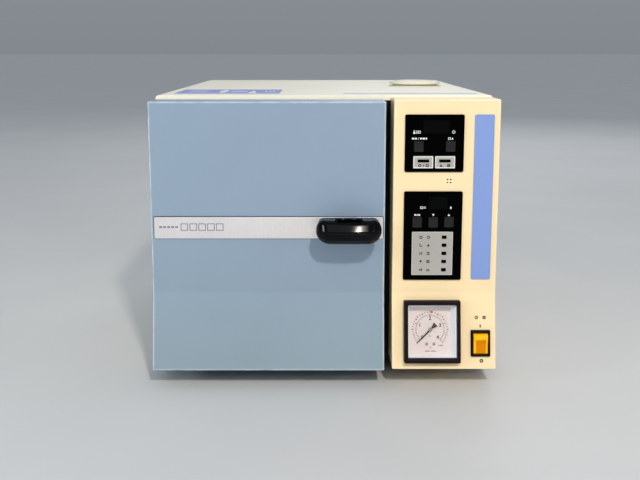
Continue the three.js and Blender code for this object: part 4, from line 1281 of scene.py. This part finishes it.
def make_pointer(centre):
    """A slim needle with a flared tail and a domed hub."""
    low, high = face_box("gauge_pointer", LOWER)
    stand = LOWER @ Matrix.Translation((centre.x, 0, centre.y))
    aim = stand @ Matrix.Rotation(math.pi / 2 - dial_angle(0), 4, "Y")
    side = [(3.2, -9.0), (1.1, -3.8), (0.8, -1.0), (0.9, 2.2), (0.8, 12.0), (0.4, 22.5)]
    blade = prism("Y", side + [(-x, z) for x, z in reversed(side)], low.y + 0.9, low.y + 1.3, aim)
    add("gauge_needle", bevelled(blade, 0.06, 1), "black", "pointer",
        "gauge_pointer")
    hub = lathe([(0, high.y), (2.2, high.y, 0.2), (2.2, low.y + 0.8, 0.5),
                 (1.0, low.y + 0.3, 0.5), (0, low.y + 0.3)], (0, 0, 0), segments=48)
    add("gauge_hub", placed(hub, stand), "hub", "pointer", weighted=False)


def make_gauge():
    centre = dial_centre()
    make_gauge_case()
    make_dial_marks(make_dial(), centre)
    make_pointer(centre)


# ------------------------------------------------------------------ power switch


def make_switch():
    low, high = face_box("switch_bezel", LOWER)
    rocker_low, rocker_high = face_box("switch_rocker", LOWER)
    mid, half_height = (rocker_low.z + rocker_high.z) / 2, 12.7
    gap, wall = 0.4, 0.3  # beside the rocker, and the thickness of the frame's back
    left, right = rocker_low.x - gap, rocker_high.x + gap
    bottom, top = mid - half_height, mid + half_height
    front, rear, deep = low.y, -0.3, 14
    bezel = rounded_frame(low, high, (left, right, bottom, top), [
        (0, rear, 1.3), (0, front + 1.2, 1.3), (0.15, front + 0.35, 1.2), (0.4, front, 1.0),
        (0.8, front + 0.2, 0.7), (1.0, front + 0.9, 0.5), (1.0, deep, 0.5),
        (0.75, deep + 0.2, 0.5), (0.75, rear, 0.5)])
    back = face_block(left - wall, right + wall, bottom - wall, top + wall, deep + 0.1, high.y)
    add("switch_frame", joined([bezel, back]), "black", "cabinet",
        "switch_bezel", smooth_angle=38)
    make_rocker(mid)
    make_switch_marks((low.x + high.x) / 2)


def make_rocker(mid):
    """An amber rocker whose end faces are arcs about its pivot, with a darker middle."""
    low, high = face_box("switch_rocker", LOWER)
    pivot_depth, reach, tilt = 4, 12.3, math.radians(9)
    centre, ends, slope = 2.6, 4, 2.3  # depths of the front, and the width of its sloping sides
    pivot = Vector((0, pivot_depth, mid))
    stand = (LOWER @ Matrix.Translation(pivot) @ Matrix.Rotation(tilt, 4, "X")
             @ Matrix.Translation(-pivot))

    def end_face(lower, side):
        """Points of one end face, from the front corner to the back."""
        front = math.acos((pivot_depth + ends - lower) / reach)
        back = math.radians(104)
        angles = (front + (back - front) * k / 8 for k in range(9))
        return [(pivot_depth - reach * math.cos(a), mid + side * reach * math.sin(a))
                for a in angles]

    def section(lower):
        """The rocker cut across, with its front lower by an amount."""
        y = lower - centre
        return (end_face(lower, -1)[::-1] + [(y - 0.35, mid - 3), (y, mid), (y - 0.35, mid + 3)]
                + end_face(lower, 1))

    stations = [(low.x, 1.5), (low.x + 0.6, 0.9), (low.x + slope, 0),
                (high.x - slope, 0), (high.x - 0.6, 0.9), (high.x, 1.5)]
    lens = lofted([[Vector((x, y, z)) for y, z in section(lower)] for x, lower in stations])
    add("rocker_lens", placed(bevelled(lens, 0.25, 2, 25), stand), "amber", "rocker",
        "switch_rocker", smooth_angle=25)
    front = [(-depth, mid + z)
             for depth, z in ((4.03, -9.2), (3.04, -3), (2.69, 0), (3.04, 3), (3.6, 6.3))]
    outline = front + [(y + 0.6, z) for y, z in reversed(front)]
    inlay = prism("X", outline, low.x + slope + 0.3, high.x - slope - 0.3, stand)
    add("rocker_inlay", inlay, "amber_dark", "rocker")


def make_switch_marks(x):
    """Plain power marks printed on the housing round the switch."""
    ink = Marks(LOWER, -0.0005)
    z = up_face(83)
    ink.arc(x - 4.4, z, 1.6, 0.95, 120, 420)
    ink.bar(x - 4.4, z + 1.0, 0.95, 2.2)
    ink.square(x + 4.6, z, 3.6, 0.95)
    ink.bar(x + 4.6, z, 0.95, 1.8)
    ink.bar(x, up_face(73.2), 1.4, 3.4)
    ink.arc(x + 1.2, up_face(33.2), 1.5, 1.4)
    ink.print("switch_marks", "black_ink", "panel_black")


# ------------------------------------------------------------------ the whole object

make_cover()
make_filler()
make_top_labels()
make_feet()
make_case_screws()
make_turned_steel()
make_heater()
make_tray("tray_lower", "lower_tray")
make_tray("tray_upper", "upper_tray")
make_drain()
make_door()
make_trim()
make_grip()
make_shaft()
make_housing()
make_upper_panel()
make_lower_panel()
make_stripe()
for key in ("key_program", "key_start", "key_mode", "key_down", "key_up"):
    make_key(key)
make_gauge()
make_switch()
soften_inner_parts()

bpy.context.view_layer.update()
